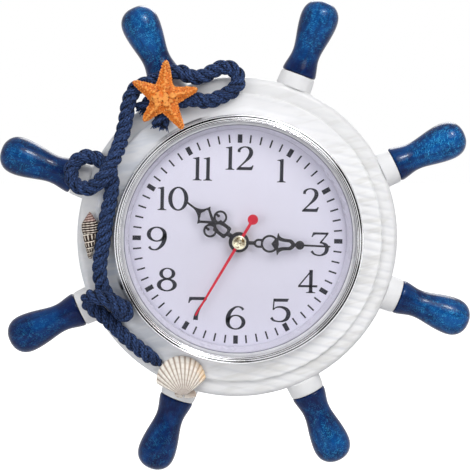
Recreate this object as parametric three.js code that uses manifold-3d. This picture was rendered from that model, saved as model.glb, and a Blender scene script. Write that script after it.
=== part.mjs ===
// Ship wheel clock: a wooden wheel with turned handles round a quartz clock insert, with a glued rope,
// a starfish and two shells. Millimetres, +Z up. The dial faces -Y, and the back lies in the wall plane.
// The origin is on the wheel's axis in the wall plane. A depth is measured from the wall plane forwards.

import * as THREE from 'three';
import { mergeVertices } from 'three/addons/utils/BufferGeometryUtils.js';
import Module from 'manifold-3d';

const wasm = await Module();
wasm.setup();

// Clearances and cuts
const seat = 0.3;
const running = 0.25;
const overrun = 3;

// Wheel rim: a bore for the insert, a raised inner band and a lower outer band
const insertRadius = 66.5;
const rimBandWidth = 14.1;
const rimBandDepth = 22.5;
const rimBandRound = 1.2;
const rimEdgeWidth = 9.1;
const rimEdgeDepth = 20;
const rimEdgeRound = 3.5;
const rimBackRound = 1.5;
const rimSides = 64;

// Handles and collars
const handleCount = 8;
const handleAngle = 20.6;
const handleAxisDepth = 10.5;
const handleLength = 42.2;
const handleGirth = 10.2;
const tenonRadius = 4;
const tenonDepth = 12;
const collarLength = 7.2;
const collarRadius = 9.45;
const collarChamfer = 0.8;
const turnedSides = 12;
// Each row is a place along the handle as a share of its length, and its girth as a share of the bulb's.
const handleShares = [
  [0, 0.88],
  [0.03, 0.925],
  [0.13, 0.83],
  [0.26, 0.73],
  [0.42, 0.775],
  [0.58, 0.9],
  [0.75, 1],
  [0.87, 0.93],
  [0.95, 0.72],
  [0.99, 0.36],
  [1, 0],
];

// Hanger plate and its screws, let into the rim's back
const hangerWidth = 40;
const hangerHeight = 14;
const hangerThickness = 1.2;
const keyholeRadius = 4.2;
const keyholeSlotWidth = 4.4;
const keyholeSlotRise = 6;
const keyholeDrop = 2;
const keyholePocketDepth = 8;
const keyholePocketMargin = 1.2;
const screwSpacing = 29;
const screwHeadRadius = 3;
const screwShankRadius = 1.5;
const screwLength = 14;
const screwSlotWidth = 0.7;
const screwSides = 10;

// Clock insert: bezel, lens, reflector ring, dial, cup and friction band
const bezelWall = 2.6;
const bezelStep = 0.1;
const bezelLipWidth = 1.2;
const bezelLip = 0.9;
const bezelGroove = 0.35;
// Each row is a place up the bezel's side as a share of its height, and a share of the groove's depth.
const bezelSideShares = [[0, 0], [0.22, 0], [0.3, 1], [0.38, 0], [0.46, 1], [0.6, 0.5]];
const bezelSides = 54;
const insertSides = 40;
const lensThickness = 1.8;
const lensGap = 1.1;
const reflectorTaper = 2.5;
const reflectorFlangeWidth = 2.7;
const reflectorWall = 0.8;
const reflectorFlange = 0.4;
const dialThickness = 0.5;
const cupFloor = 1.2;
const cupWall = 1;
const cupCorner = 1.4;
const cupBead = 0.6;
const cupBeadDepth = 25.7;
const cupBeadHeight = 2.4;
const shaftOpeningGap = 0.3;
const bandThickness = 0.4;
const bandHeight = 3;
const bandDepth = 20.5;

// Movement case, its bush and what clamps it
const shaftX = 0.25;
const shaftZ = -1.9;
const caseSide = 56;
const caseWall = 1.2;
const caseRound = 3;
const casePost = 3;
const coverThickness = 1.5;
const pivotDepth = 0.7;
const bushRadius = 3.3;
const bushLength = 5.4;
const washerRadius = 5.2;
const washerThickness = 0.4;
const nutAcrossCorners = 10.2;
const nutThickness = 1.9;
const nutSides = 6;

// Cell and its contacts
const cellRadius = 7.1;
const cellLength = 50.5;
const cellNubRadius = 2.7;
const cellNubLength = 1.2;
const cellRim = 0.8;
const bayClearance = 0.3;
const contactThickness = 0.4;
const contactWidth = 8;
const contactHeight = 9;
const contactSpring = 1.1;

// Shafts
const hourTubeRadius = 2.55;
const hourTubeBore = 1.9;
const minuteTubeRadius = 1.65;
const minuteTubeBore = 0.75;
const sweepArborRadius = 0.5;
const arborRadius = 0.45;
const arborSides = 8;

// Gears. Each train keeps one centre distance, and its modules follow from the tooth counts.
const trainDistance = 9;
const rotorDistance = 8.4;
const secondTeeth = 30;
const thirdTeeth = 45;
const centreTeeth = 48;
const intermediateTeeth = 36;
const trainPinionTeeth = 6;
const cannonTeeth = 10;
const motionTeeth = 30;
const motionPinionTeeth = 8;
const hourTeeth = 32;
const thirdAngle = 180;
const intermediateAngle = 60;
const rotorAngle = 20;
const motionAngle = -20;
const wheelThickness = 0.8;
const pinionThickness = 1.2;
const levelPitch = 1.6;
const backlashShare = 0.3;
const toothHeightShare = 1.25;

// Rotor, stator, coil, board and setting knob
const magnetRadius = 3;
const magnetLength = 3;
const magnetDepth = 10;
const magnetGap = 0.4;
const statorThickness = 0.8;
const statorWidth = 22;
const statorHeight = 15;
const statorBar = 3.6;
const statorEyeWall = 1.4;
const coilLength = 13;
const coilRadius = 3.9;
const coilWall = 1.6;
const boardWidth = 22;
const boardHeight = 12;
const boardThickness = 1;
const boardPostRadius = 1.5;
const boardPostHeight = 1;
const crystalRadius = 1.5;
const crystalLength = 6;
const chipRadius = 3;
const chipHeight = 1.2;
const knobRadius = 5;
const knobHeight = 2.1;
const knobNotches = 10;
const knobNotch = 0.5;
const knobWellMargin = 0.5;
const knobBossWall = 0.8;

// Hands, as lengths and clock angles
const handThickness = 0.4;
const handGap = 1;
const hourLength = 36.7;
const hourAngle = 307.8;
const minuteLength = 51;
const minuteAngle = 93;
const sweepHandLength = 47.6;
const sweepHandTail = 14.7;
const sweepHandAngle = 211;
const sweepHandThickness = 0.3;
const sweepHandWidth = 1.1;
const sweepHandPointWidth = 0.5;
const sweepHandDiscRadius = 2.2;
const hubRadius = 5.6;
const capRadius = 4;
const capHeight = 1.5;

// Where each hand's neck starts inside its hub
const neckOverlap = 0.6;

// Outlines of the hour and minute hands, as shares of the hand's length. Each half outline is mirrored.
const hourLyreShares = [[0, 0.205], [0.075, 0.21], [0.097, 0.24], [0.095, 0.4], [0.05, 0.43], [0, 0.43]];
const hourLyreHoleShares = [[0, 0.24], [0.04, 0.245], [0.045, 0.33], [0, 0.4]];
const hourKiteShares = [
  [0, 0.42], [0.05, 0.42], [0.12, 0.54], [0.16, 0.665], [0.065, 0.71], [0.017, 0.83], [0.016, 1], [0, 1],
];
const hourKiteHoleShares = [[0, 0.51], [0.045, 0.59], [0.085, 0.65], [0, 0.705]];
const hourRingOffsetShare = 0.122;
const hourRingPlaceShare = 0.44;
const hourRingShare = 0.1;
const hourRingWallShare = 0.026;
const hourDotShare = 0.022;
const minuteLoopShares = [[0, 0.148], [0.03, 0.165], [0.047, 0.2], [0.045, 0.25], [0, 0.25]];
const minuteLoopHoleShares = [[0, 0.172], [0.024, 0.19], [0.026, 0.23], [0, 0.235]];
const minuteRingPlaceShare = 0.333;
const minuteRingShare = 0.095;
const minuteRingWallShare = 0.02;
const minuteLensShares = [[0, 0.347], [0.085, 0.405], [0.05, 0.43], [0, 0.435]];
const minuteTulipShares = [
  [0, 0.42], [0.06, 0.41], [0.12, 0.417], [0.08, 0.445],
  [0.057, 0.515], [0.054, 0.56], [0.02, 0.615], [0, 0.63],
];
const minuteTulipHoleShares = [[0, 0.438], [0.045, 0.445], [0.031, 0.5], [0.028, 0.545], [0, 0.57]];
const minuteBallPlaceShare = 0.663;
const minuteBallShare = 0.047;
const needleShare = 0.011;
const hourNeckShare = 0.0286;
const minuteNeckShare = 0.022;
const handRingSides = 12;
const hubSides = 16;

// Rope: the route is chosen by hand over the rim, the collars and itself
const ropeDiameter = 8.4;
const ropeSides = 7;
const ropeSteps = 124;
const ropeRoute = [
  [-42.4, -27.1, 62.5], [-41.9, -27.1, 68.0], [-39.1, -26.9, 72.9], [-34.1, -26.9, 75.9],
  [-28.6, -27.0, 77.6], [-22.6, -27.1, 77.3], [-16.5, -27.1, 76.7], [-9.9, -27.1, 79.2],
  [-3.2, -26.9, 82.8], [-0.1, -25.4, 87.7], [-2.0, -24.8, 93.0], [-6.4, -24.6, 95.4],
  [-11.4, -24.6, 94.6], [-17.5, -24.6, 91.4], [-22.5, -24.6, 89.8], [-27.4, -24.6, 90.5],
  [-31.8, -24.6, 92.7], [-37.3, -24.6, 92.4], [-43.4, -24.6, 89.4], [-50.0, -25.6, 86.6],
  [-56.4, -27.0, 84.0], [-60.4, -27.2, 77.3], [-61.8, -26.6, 70.1], [-63.9, -25.4, 59.7],
  [-66.4, -29.6, 51.5], [-69.9, -35.0, 43.5], [-75.4, -35.9, 34.9], [-82.7, -30.9, 29.1],
  [-91.1, -26.0, 31.6], [-92.4, -24.7, 39.9], [-86.1, -24.7, 45.9], [-77.6, -25.0, 44.6],
  [-71.6, -27.0, 38.8], [-70.2, -27.2, 31.6], [-71.0, -27.2, 23.4], [-73.0, -27.2, 14.5],
  [-74.3, -27.2, 5.6], [-75.5, -27.2, -2.7], [-77.2, -27.2, -13.8], [-76.8, -27.2, -22.2],
  [-73.8, -27.2, -30.0], [-68.9, -27.2, -36.2], [-64.2, -28.2, -40.4], [-60.5, -32.2, -40.2],
  [-62.7, -36.3, -34.9], [-68.7, -36.9, -32.0], [-75.3, -36.7, -29.8], [-81.7, -33.2, -29.6],
  [-85.6, -27.8, -33.6], [-82.8, -25.0, -39.4], [-78.8, -24.8, -42.6], [-73.2, -25.2, -47.0],
  [-65.1, -26.4, -53.4], [-56.3, -27.1, -60.1], [-50.4, -27.1, -64.9], [-46.2, -27.1, -68.3],
];
const tailRoute = [[-53.0, -24.0, 71.8], [-51.0, -24.4, 74.0], [-47.6, -24.6, 77.2]];
const tailSteps = 4;

// Starfish, lying on the rope: its clock angle, how far in from the rim's edge it lies, and its arms
const starAngle = -27.84;
const starInset = 1.34;
const starSeat = 0.6;
const starRise = 6;
const starEdge = 1.4;
const starArmAngles = [74.8, 3.5, -61.6, -137.6, 148.5];
const starArmLengths = [19.5, 21.3, 19.6, 17.1, 20.1];
const starWaistShare = 0.55;
const starArmWidth = 10.4;
const starTipWidth = 4.2;
// Rings of the starfish, each a share of the way out to the edge and a share of the rise.
const starRingShares = [[0.35, 0.9], [0.7, 0.68], [0.9, 0.4]];

// Scallop shell: its hinge's clock angle, how far the hinge stands over the rim's edge, its fan and its ribs
const scallopPlaceAngle = -160.75;
const scallopOverhang = 3.42;
const scallopTiltAngle = -4.3;
const scallopFanRadius = 13.2;
const scallopFanCentre = 10;
const scallopSpreadAngle = 56;
const scallopRootShare = 0.12;
const scallopSideShare = 0.9;
const scallopRise = 7;
const scallopWall = 1.2;
const scallopRibs = 13;
const scallopRibHeight = 0.55;
const scallopRows = 6;
const scallopHinge = 1.6;

// Spiral shell, upright on the rim's step: its place, and each whorl's place and girth as shares
const spiralOffset = 2.9;
const spiralSeat = 0.5;
const spiralTip = -10.5;
const spiralLength = 26;
const spiralRadius = 4.2;
const spiralGroove = 0.5;
const spiralSides = 12;
const spiralWhorlShares = [
  [0.04, 0.2], [0.16, 0.34], [0.29, 0.5], [0.43, 0.68], [0.58, 0.86], [0.72, 1], [0.84, 0.66],
];

// Places worked out from the sizes above
const rimBore = insertRadius + seat;
const rimBandRadius = rimBore + rimBandWidth;
const rimRadius = rimBandRadius + rimEdgeWidth;
const bezelBore = rimBore + bezelStep;
const bezelRadius = bezelBore + bezelWall;
const bezelLipRadius = bezelBore - bezelLipWidth;
const socketRadius = tenonRadius + seat;
const handleStart = rimRadius + seat + collarLength + seat;
const caseDepth = caseWall + 2 * (cellRadius + bayClearance);
const cupBack = caseDepth + seat;
const cupFront = cupBack + cupFloor;
const dialBack = cupFront + seat;
const dialFront = dialBack + dialThickness;
const lensRadius = bezelBore - 2 * seat;
const reflectorHeadRadius = lensRadius - reflectorFlangeWidth;
const reflectorFootRadius = reflectorHeadRadius - reflectorTaper;
const cupRadius = rimBore - 2 * seat - bandThickness;
const washerBack = dialFront + seat;
const nutBack = washerBack + washerThickness + seat;
const bushEnd = caseDepth + bushLength;
const hourHandBack = bushEnd + 2 * seat;
const neckStart = hubRadius - neckOverlap;
const minuteHandBack = hourHandBack + handThickness + handGap;
const sweepHandBack = minuteHandBack + handThickness + handGap;
const capBack = sweepHandBack + sweepHandThickness + seat;
const lensBack = capBack + capHeight + lensGap;
const lensFront = lensBack + lensThickness;
const bezelDepth = lensFront + seat + bezelLip;
const reflectorFront = lensBack - seat;
const cupMouth = reflectorFront - reflectorFlange - seat;
const roomDepth = caseDepth - caseWall;
const bayHeight = 2 * (cellRadius + bayClearance);
const bayFloorZ = -caseSide / 2 + caseWall;
const bayTopZ = bayFloorZ + bayHeight;
const roomFloorZ = bayTopZ + caseWall;
const roomTopZ = caseSide / 2 - caseWall;
const roomHalf = caseSide / 2 - caseWall;
const roomHeight = roomTopZ - roomFloorZ;
const roomMidZ = (roomTopZ + roomFloorZ) / 2;
const cellDepth = cellRadius + bayClearance;
const cellZ = bayFloorZ + cellDepth;
const cellEnd = roomHalf - seat - contactThickness - seat;
const hangerZ = (rimBore + rimRadius) / 2;
const keyholeZ = hangerZ - keyholeDrop;
const starX = (rimRadius - starInset) * Math.sin(THREE.MathUtils.degToRad(starAngle));
const starZ = (rimRadius - starInset) * Math.cos(THREE.MathUtils.degToRad(starAngle));
const starDepth = rimBandDepth + seat + ropeDiameter + starSeat;
const scallopX = (rimRadius + scallopOverhang) * Math.sin(THREE.MathUtils.degToRad(scallopPlaceAngle));
const scallopZ = (rimRadius + scallopOverhang) * Math.cos(THREE.MathUtils.degToRad(scallopPlaceAngle));
const scallopDepth = rimBandDepth + seat;
const spiralX = -(rimBandRadius + spiralOffset);
const spiralDepth = rimEdgeDepth + spiralSeat + spiralRadius;
const wellDepth = knobHeight + 2 * seat;
const bossDepth = wellDepth + caseWall;

// Levels of the gears: the hour wheel is next to the case's front, and the others follow towards the back.
const hourLevel = roomDepth - seat - wheelThickness / 2;
const motionLevel = hourLevel - levelPitch + running;
const centreLevel = motionLevel - levelPitch;
const thirdLevel = centreLevel - levelPitch;
const secondLevel = thirdLevel - levelPitch;
const intermediateLevel = secondLevel - levelPitch;

const centreModule = (2 * trainDistance) / (centreTeeth + trainPinionTeeth);
const thirdModule = (2 * trainDistance) / (thirdTeeth + trainPinionTeeth);
const secondModule = (2 * trainDistance) / (secondTeeth + trainPinionTeeth);
const intermediateModule = (2 * rotorDistance) / (intermediateTeeth + trainPinionTeeth);
const cannonModule = (2 * trainDistance) / (cannonTeeth + motionTeeth);
const hourModule = (2 * trainDistance) / (motionPinionTeeth + hourTeeth);

const radians = THREE.MathUtils.degToRad;
const fullTurn = 2 * Math.PI;

function polar(distance, direction) {
  return [distance * Math.cos(radians(direction)), distance * Math.sin(radians(direction))];
}

const thirdPlace = polar(trainDistance, thirdAngle);
const intermediatePlace = polar(trainDistance, intermediateAngle);
const rotorStep = polar(rotorDistance, rotorAngle);
const rotorPlace = [intermediatePlace[0] + rotorStep[0], intermediatePlace[1] + rotorStep[1]];
const motionPlace = polar(trainDistance, motionAngle);

// Finishes
function finish(color, roughness, metalness = 0) {
  return new THREE.MeshStandardMaterial({ color, roughness, metalness, flatShading: true });
}

const whitePaint = finish(0xe9ebee, 0.6);
const blueVarnish = finish(0x1c3f86, 0.25);
const chrome = finish(0xd6d6d8, 0.12, 1);
const greyPlastic = finish(0x9c99a6, 0.5);
const lavenderPlastic = finish(0xb9b6c8, 0.4);
const dialPaper = finish(0xd8d6e4, 0.8);
const lensGlass = finish(0xeef2f5, 0.05);
const blackRubber = finish(0x1c1c1e, 0.85);
const blackPaint = finish(0x17171c, 0.45);
const redPaint = finish(0xb5172f, 0.4);
const brass = finish(0xc2a057, 0.25, 1);
const zincSteel = finish(0xb4b6ba, 0.35, 1);
const blackPlastic = finish(0x26262a, 0.5);
const whiteNylon = finish(0xe6e4dc, 0.5);
const copperWire = finish(0x9a5a2c, 0.4, 0.8);
const boardGreen = finish(0x2f6b3c, 0.6);
const cellWrap = finish(0x3a3f48, 0.4);
const ropeCotton = finish(0x24345f, 0.9);
const starfishSkin = finish(0xe07a2c, 0.8);
const scallopShellFinish = finish(0xefe3d0, 0.5);
const spiralShellFinish = finish(0x8a6a50, 0.5);

// Geometry with one vertex for each corner, no empty triangle, and its faces pointing out
function welded(geometry) {
  const bare = new THREE.BufferGeometry();
  bare.setAttribute('position', geometry.getAttribute('position').clone());
  if (geometry.index) bare.setIndex(geometry.index.clone());
  const merged = mergeVertices(bare);
  const corners = merged.index.array;
  const kept = [];
  for (let i = 0; i < corners.length; i += 3) {
    const [a, b, c] = [corners[i], corners[i + 1], corners[i + 2]];
    if (a !== b && b !== c && c !== a) kept.push(a, b, c);
  }
  merged.setIndex(signedVolume(merged, kept) < 0 ? kept.reverse() : kept);
  return merged;
}

function signedVolume(geometry, corners) {
  const position = geometry.getAttribute('position');
  const [a, b, c] = [new THREE.Vector3(), new THREE.Vector3(), new THREE.Vector3()];
  let total = 0;
  for (let i = 0; i < corners.length; i += 3) {
    a.fromBufferAttribute(position, corners[i]);
    b.fromBufferAttribute(position, corners[i + 1]);
    c.fromBufferAttribute(position, corners[i + 2]);
    total += a.dot(b.cross(c));
  }
  return total;
}

function solidOf(geometry) {
  const clean = welded(geometry);
  const vertProperties = new Float32Array(clean.getAttribute('position').array);
  const triVerts = new Uint32Array(clean.index.array);
  return new wasm.Manifold(new wasm.Mesh({ numProp: 3, vertProperties, triVerts }));
}

function geometryOf(solid) {
  const mesh = solid.getMesh();
  const geometry = new THREE.BufferGeometry();
  geometry.setAttribute('position', new THREE.BufferAttribute(new Float32Array(mesh.vertProperties), 3));
  geometry.setIndex([...mesh.triVerts]);
  return geometry;
}

function joined(...pieces) {
  return geometryOf(pieces.map(solidOf).reduce((all, next) => all.add(next)));
}

function cut(body, ...tools) {
  return geometryOf(tools.map(solidOf).reduce((left, tool) => left.subtract(tool), solidOf(body)));
}

function piece(name, geometry, material) {
  const mesh = new THREE.Mesh(welded(geometry), material);
  mesh.name = name;
  return mesh;
}

function group(...children) {
  const made = new THREE.Group();
  made.add(...children);
  return made;
}

// A turned form about the Y axis. The profile's points are [radius, depth].
function turned(profile, sides) {
  const points = profile.map(([radius, depth]) => new THREE.Vector2(radius, -depth));
  const open = profile[0][0] === 0 && profile[profile.length - 1][0] === 0;
  if (!open) points.push(points[0].clone());
  return new THREE.LatheGeometry(points, sides);
}

// A turned form along +Z. The profile's points are [radius, height].
function turnedUp(profile, sides) {
  return turned(profile.map(([radius, height]) => [radius, -height]), sides).rotateX(Math.PI / 2);
}

function tube(outer, inner, back, front, sides) {
  return turned([[inner, back], [outer, back], [outer, front], [inner, front]], sides);
}

function rod(radius, back, front, sides) {
  return turned([[0, back], [radius, back], [radius, front], [0, front]], sides);
}

// A turned dome, flat at the back
function dome(radius, height, back, sides) {
  const rim = arc(0, 0, 1, 0, 90, 4).map(([across, up]) => [radius * across, back + height * up]);
  rim.pop();
  return turned([[0, back], ...rim, [0, back + height]], sides);
}

// A plate cut to a shape in the X-Z plane, from one depth to another
function plate(shape, back, front) {
  const geometry = new THREE.ExtrudeGeometry(shape, { depth: front - back, bevelEnabled: false });
  return geometry.rotateX(Math.PI / 2).translate(0, -back, 0);
}

function block(width, height, back, front, x, z) {
  return new THREE.BoxGeometry(width, front - back, height).translate(x, -(back + front) / 2, z);
}

function arc(centreX, centreY, radius, from, to, steps) {
  const points = [];
  for (let i = 0; i <= steps; i += 1) {
    const angle = radians(from + ((to - from) * i) / steps);
    points.push([centreX + radius * Math.cos(angle), centreY + radius * Math.sin(angle)]);
  }
  return points;
}

function regular(radius, sides) {
  return Array.from({ length: sides }, (_, i) => polar(radius, (i * 360) / sides));
}

function outline(points) {
  return new THREE.Shape(points.map(([x, y]) => new THREE.Vector2(x, y)));
}

function hole(points) {
  return new THREE.Path(points.map(([x, y]) => new THREE.Vector2(x, y)));
}

// Wheel rim: bands and rounds turned, then the sockets, the hanger's recess and the screw holes cut
function wheelRim() {
  const profile = [
    [rimBore, 0],
    [rimRadius - rimBackRound, 0],
    [rimRadius, rimBackRound],
    ...arc(rimRadius - rimEdgeRound, rimEdgeDepth - rimEdgeRound, rimEdgeRound, 0, 90, 3),
    [rimBandRadius, rimEdgeDepth],
    ...arc(rimBandRadius - rimBandRound, rimBandDepth - rimBandRound, rimBandRound, 0, 90, 2),
    [rimBore, rimBandDepth],
  ];
  const sockets = handleAngles().map((angle) => {
    const floor = rimRadius - tenonDepth - seat;
    const mouth = rimRadius + overrun;
    const profile = [[0, floor], [socketRadius, floor], [socketRadius, mouth], [0, mouth]];
    return turnedUp(profile, turnedSides).translate(0, -handleAxisDepth, 0).rotateY(radians(angle));
  });
  const recessDepth = hangerThickness + seat;
  const recess = block(hangerWidth + 2 * seat, hangerHeight + 2 * seat, -overrun, recessDepth, 0, hangerZ);
  const pocketWidth = 2 * (keyholeRadius + keyholePocketMargin);
  const pocketHeight = pocketWidth + keyholeSlotRise - keyholeRadius;
  const pocketZ = keyholeZ + (pocketHeight - pocketWidth) / 2;
  const pocket = block(pocketWidth, pocketHeight, -overrun, keyholePocketDepth, 0, pocketZ);
  const screwHoles = screwPlaces().map((x) => {
    const end = screwLength + seat;
    return rod(screwShankRadius + seat, -overrun, end, screwSides).translate(x, 0, hangerZ);
  });
  const geometry = cut(turned(profile, rimSides), ...sockets, recess, pocket, ...screwHoles);
  return piece('wheel_rim', geometry, whitePaint);
}

function handleAngles() {
  return Array.from({ length: handleCount }, (_, i) => handleAngle + (i * 360) / handleCount);
}

function screwPlaces() {
  return [-screwSpacing / 2, screwSpacing / 2];
}

function handleProfile() {
  const body = handleShares.map(([along, girth]) => [
    girth * handleGirth,
    handleStart + along * handleLength,
  ]);
  const foot = rimRadius - tenonDepth;
  return [[0, foot], [tenonRadius, foot], [tenonRadius, handleStart], ...body];
}

function collarProfile() {
  const start = rimRadius + seat;
  const end = start + collarLength;
  return [
    [socketRadius, start],
    [collarRadius - collarChamfer, start],
    [collarRadius, start + collarChamfer],
    [collarRadius - collarChamfer / 2, end],
    [socketRadius, end],
  ];
}

// One handle with the collar at its root, on the spoke's line
function spoke(angle, number) {
  const handle = piece(`handle_${number}`, turnedUp(handleProfile(), turnedSides), blueVarnish);
  const collar = piece(`handle_collar_${number}`, turnedUp(collarProfile(), turnedSides), whitePaint);
  const made = group(handle, collar);
  made.position.y = -handleAxisDepth;
  const turnedGroup = group(made);
  turnedGroup.rotation.y = radians(angle);
  return turnedGroup;
}

function screwHeadTool(margin, back) {
  const head = screwHeadRadius + margin;
  const shank = screwShankRadius + margin;
  const end = margin + hangerThickness;
  const far = 2 * hangerThickness;
  return [[0, back], [head, back], [head, margin], [shank, end], [shank, far], [0, far]];
}

function hangerPlate() {
  const half = hangerWidth / 2;
  const rise = hangerHeight / 2;
  const shape = outline([[-half, -rise], [half, -rise], [half, rise], [-half, rise]]);
  const slotHalf = keyholeSlotWidth / 2;
  const slotAngle = THREE.MathUtils.radToDeg(Math.acos(slotHalf / keyholeRadius));
  shape.holes.push(hole([
    ...arc(0, -keyholeDrop, keyholeRadius, 180 - slotAngle, 360 + slotAngle, 10),
    ...arc(0, keyholeSlotRise - keyholeDrop, slotHalf, 0, 180, 4),
  ]));
  const tools = screwPlaces().map((x) =>
    turned(screwHeadTool(seat, -overrun), screwSides).translate(x, 0, 0));
  const geometry = cut(plate(shape, 0, hangerThickness), ...tools);
  return piece('hanger_plate', geometry.translate(0, 0, hangerZ), zincSteel);
}

function hangerScrew(x, number) {
  const profile = [
    [0, seat / 2],
    [screwHeadRadius, seat / 2],
    [screwShankRadius, seat / 2 + hangerThickness],
    [screwShankRadius, screwLength - 2 * screwShankRadius],
    [0, screwLength],
  ];
  const slotLength = 2 * screwHeadRadius + overrun;
  const slot = block(slotLength, screwSlotWidth, -overrun, seat / 2 + screwSlotWidth, 0, 0);
  const screw = piece(`hanger_screw_${number}`, cut(turned(profile, screwSides), slot), zincSteel);
  screw.position.set(x, 0, hangerZ);
  return screw;
}

function bezel() {
  const foot = rimBandDepth + seat;
  const rise = bezelDepth - foot;
  const profile = [
    [bezelBore, foot],
    ...bezelSideShares.map(([up, cutIn]) => [bezelRadius - cutIn * bezelGroove, foot + rise * up]),
    [bezelRadius - bezelLip, bezelDepth - bezelLip],
    [bezelBore + bezelLip / 2, bezelDepth],
    [bezelLipRadius + bezelGroove, bezelDepth - bezelGroove / 2],
    [bezelLipRadius, bezelDepth - bezelLip],
    [bezelBore, bezelDepth - bezelLip],
  ];
  return piece('bezel', turned(profile, bezelSides), chrome);
}

function lens() {
  return piece('lens', rod(lensRadius, lensBack, lensFront, insertSides), lensGlass);
}

function reflectorRing() {
  const foot = dialFront + seat;
  const profile = [
    [reflectorFootRadius, foot],
    [reflectorFootRadius + reflectorWall, foot],
    [reflectorHeadRadius + reflectorWall, reflectorFront - reflectorFlange],
    [lensRadius, reflectorFront - reflectorFlange],
    [lensRadius, reflectorFront],
    [reflectorHeadRadius, reflectorFront],
  ];
  return piece('reflector_ring', turned(profile, insertSides), lavenderPlastic);
}

function dial() {
  const outer = cupRadius - cupWall - 2 * seat;
  const disc = rod(outer, dialBack, dialFront, insertSides);
  return piece('dial', cut(disc, shaftOpening(dialBack, dialFront)), dialPaper);
}

// Opening for the bush through the dial or the cup's floor
function shaftOpening(back, front) {
  const radius = bushRadius + shaftOpeningGap;
  return rod(radius, back - overrun, front + overrun, turnedSides).translate(shaftX, 0, shaftZ);
}

function dialCup() {
  const inner = cupRadius - cupWall;
  const beadStart = cupBeadDepth - cupBeadHeight / 2;
  const beadEnd = cupBeadDepth + cupBeadHeight / 2;
  const profile = [
    [0, cupBack],
    [cupRadius - cupCorner, cupBack],
    [cupRadius, cupBack + cupCorner],
    [cupRadius, beadStart],
    [cupRadius + cupBead, cupBeadDepth],
    [cupRadius, beadEnd],
    [cupRadius, cupMouth],
    [inner, cupMouth],
    [inner, cupFront],
    [0, cupFront],
  ];
  const shell = cut(turned(profile, insertSides), shaftOpening(cupBack, cupFront));
  return piece('dial_cup', shell, greyPlastic);
}

function frictionBand() {
  const inner = cupRadius + seat;
  const back = bandDepth - bandHeight / 2;
  const front = bandDepth + bandHeight / 2;
  return piece('friction_band', tube(inner + bandThickness, inner, back, front, insertSides), blackRubber);
}

// Gear outline with straight-sided pointed teeth. A space points along the phase angle.
function gearPoints(teeth, module, phase) {
  const pitchRadius = (teeth * module) / 2;
  const tip = pitchRadius + module * (toothHeightShare / 2 - backlashShare / 2);
  const root = pitchRadius - module * (toothHeightShare / 2 + backlashShare / 2);
  const points = [];
  for (let i = 0; i < teeth; i += 1) {
    const space = phase + (i * fullTurn) / teeth;
    const tooth = space + fullTurn / (2 * teeth);
    points.push([root * Math.cos(space), root * Math.sin(space)]);
    points.push([tip * Math.cos(tooth), tip * Math.sin(tooth)]);
  }
  return points;
}

function gear(teeth, module, phase, level, thickness) {
  return plate(outline(gearPoints(teeth, module, phase)), level - thickness / 2, level + thickness / 2);
}

function opposite(angle) {
  return angle - 180;
}

// Phase that puts a follower's tooth in its driver's space, on the line from the driver to the follower
function meshed(driverTeeth, driverPhase, direction, followerTeeth) {
  const line = radians(direction);
  const passed = ((line - driverPhase) * driverTeeth) / fullTurn;
  return line + Math.PI - ((0.5 - passed) * fullTurn) / followerTeeth;
}

const centrePhase = 0;
const thirdPinionPhase = meshed(centreTeeth, centrePhase, thirdAngle, trainPinionTeeth);
const thirdPhase = 0;
const secondPinionPhase = meshed(thirdTeeth, thirdPhase, opposite(thirdAngle), trainPinionTeeth);
const secondPhase = 0;
const intermediatePinionPhase = meshed(secondTeeth, secondPhase, intermediateAngle, trainPinionTeeth);
const intermediatePhase = 0;
const rotorPinionPhase = meshed(intermediateTeeth, intermediatePhase, rotorAngle, trainPinionTeeth);
const cannonPhase = 0;
const motionPhase = meshed(cannonTeeth, cannonPhase, motionAngle, motionTeeth);
const motionPinionPhase = 0;
const hourPhase = meshed(motionPinionTeeth, motionPinionPhase, opposite(motionAngle), hourTeeth);

const arborFront = roomDepth + pivotDepth - running;
const arborBack = coverThickness - pivotDepth + running;

function arbor() {
  return rod(arborRadius, arborBack, arborFront, arborSides);
}

function placed(mesh, [x, z]) {
  mesh.position.set(x, 0, z);
  return mesh;
}

function hourWheel() {
  const end = hourHandBack + handThickness + running;
  const start = hourLevel - wheelThickness / 2;
  const bore = rod(hourTubeBore, start - overrun, end + overrun, turnedSides);
  const wheel = gear(hourTeeth, hourModule, hourPhase, hourLevel, wheelThickness);
  const shaft = rod(hourTubeRadius, start, end, turnedSides);
  return piece('hour_wheel', cut(joined(shaft, wheel), bore), whiteNylon);
}

function minuteArbor() {
  const end = minuteHandBack + handThickness + running;
  const start = centreLevel - pinionThickness / 2;
  const bore = rod(minuteTubeBore, start - overrun, end + overrun, arborSides);
  const pinion = gear(cannonTeeth, cannonModule, cannonPhase, motionLevel, pinionThickness);
  const shaft = rod(minuteTubeRadius, start, end, turnedSides);
  return piece('minute_arbor', cut(joined(shaft, pinion), bore), zincSteel);
}

function centreWheel() {
  const bore = rod(minuteTubeRadius + running, centreLevel - overrun, centreLevel + overrun, turnedSides);
  const wheel = gear(centreTeeth, centreModule, centrePhase, centreLevel, wheelThickness);
  return piece('centre_wheel', cut(wheel, bore), whiteNylon);
}

function secondWheel() {
  const end = capBack + seat;
  const wheel = gear(secondTeeth, secondModule, secondPhase, secondLevel, wheelThickness);
  const pinion = gear(trainPinionTeeth, thirdModule, secondPinionPhase, thirdLevel, pinionThickness);
  const shaft = rod(sweepArborRadius, arborBack, end, arborSides);
  return piece('second_wheel', joined(shaft, wheel, pinion), whiteNylon);
}

function thirdWheel() {
  const wheel = gear(thirdTeeth, thirdModule, thirdPhase, thirdLevel, wheelThickness);
  const pinion = gear(trainPinionTeeth, centreModule, thirdPinionPhase, centreLevel, pinionThickness);
  return placed(piece('third_wheel', joined(arbor(), wheel, pinion), whiteNylon), thirdPlace);
}

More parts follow.
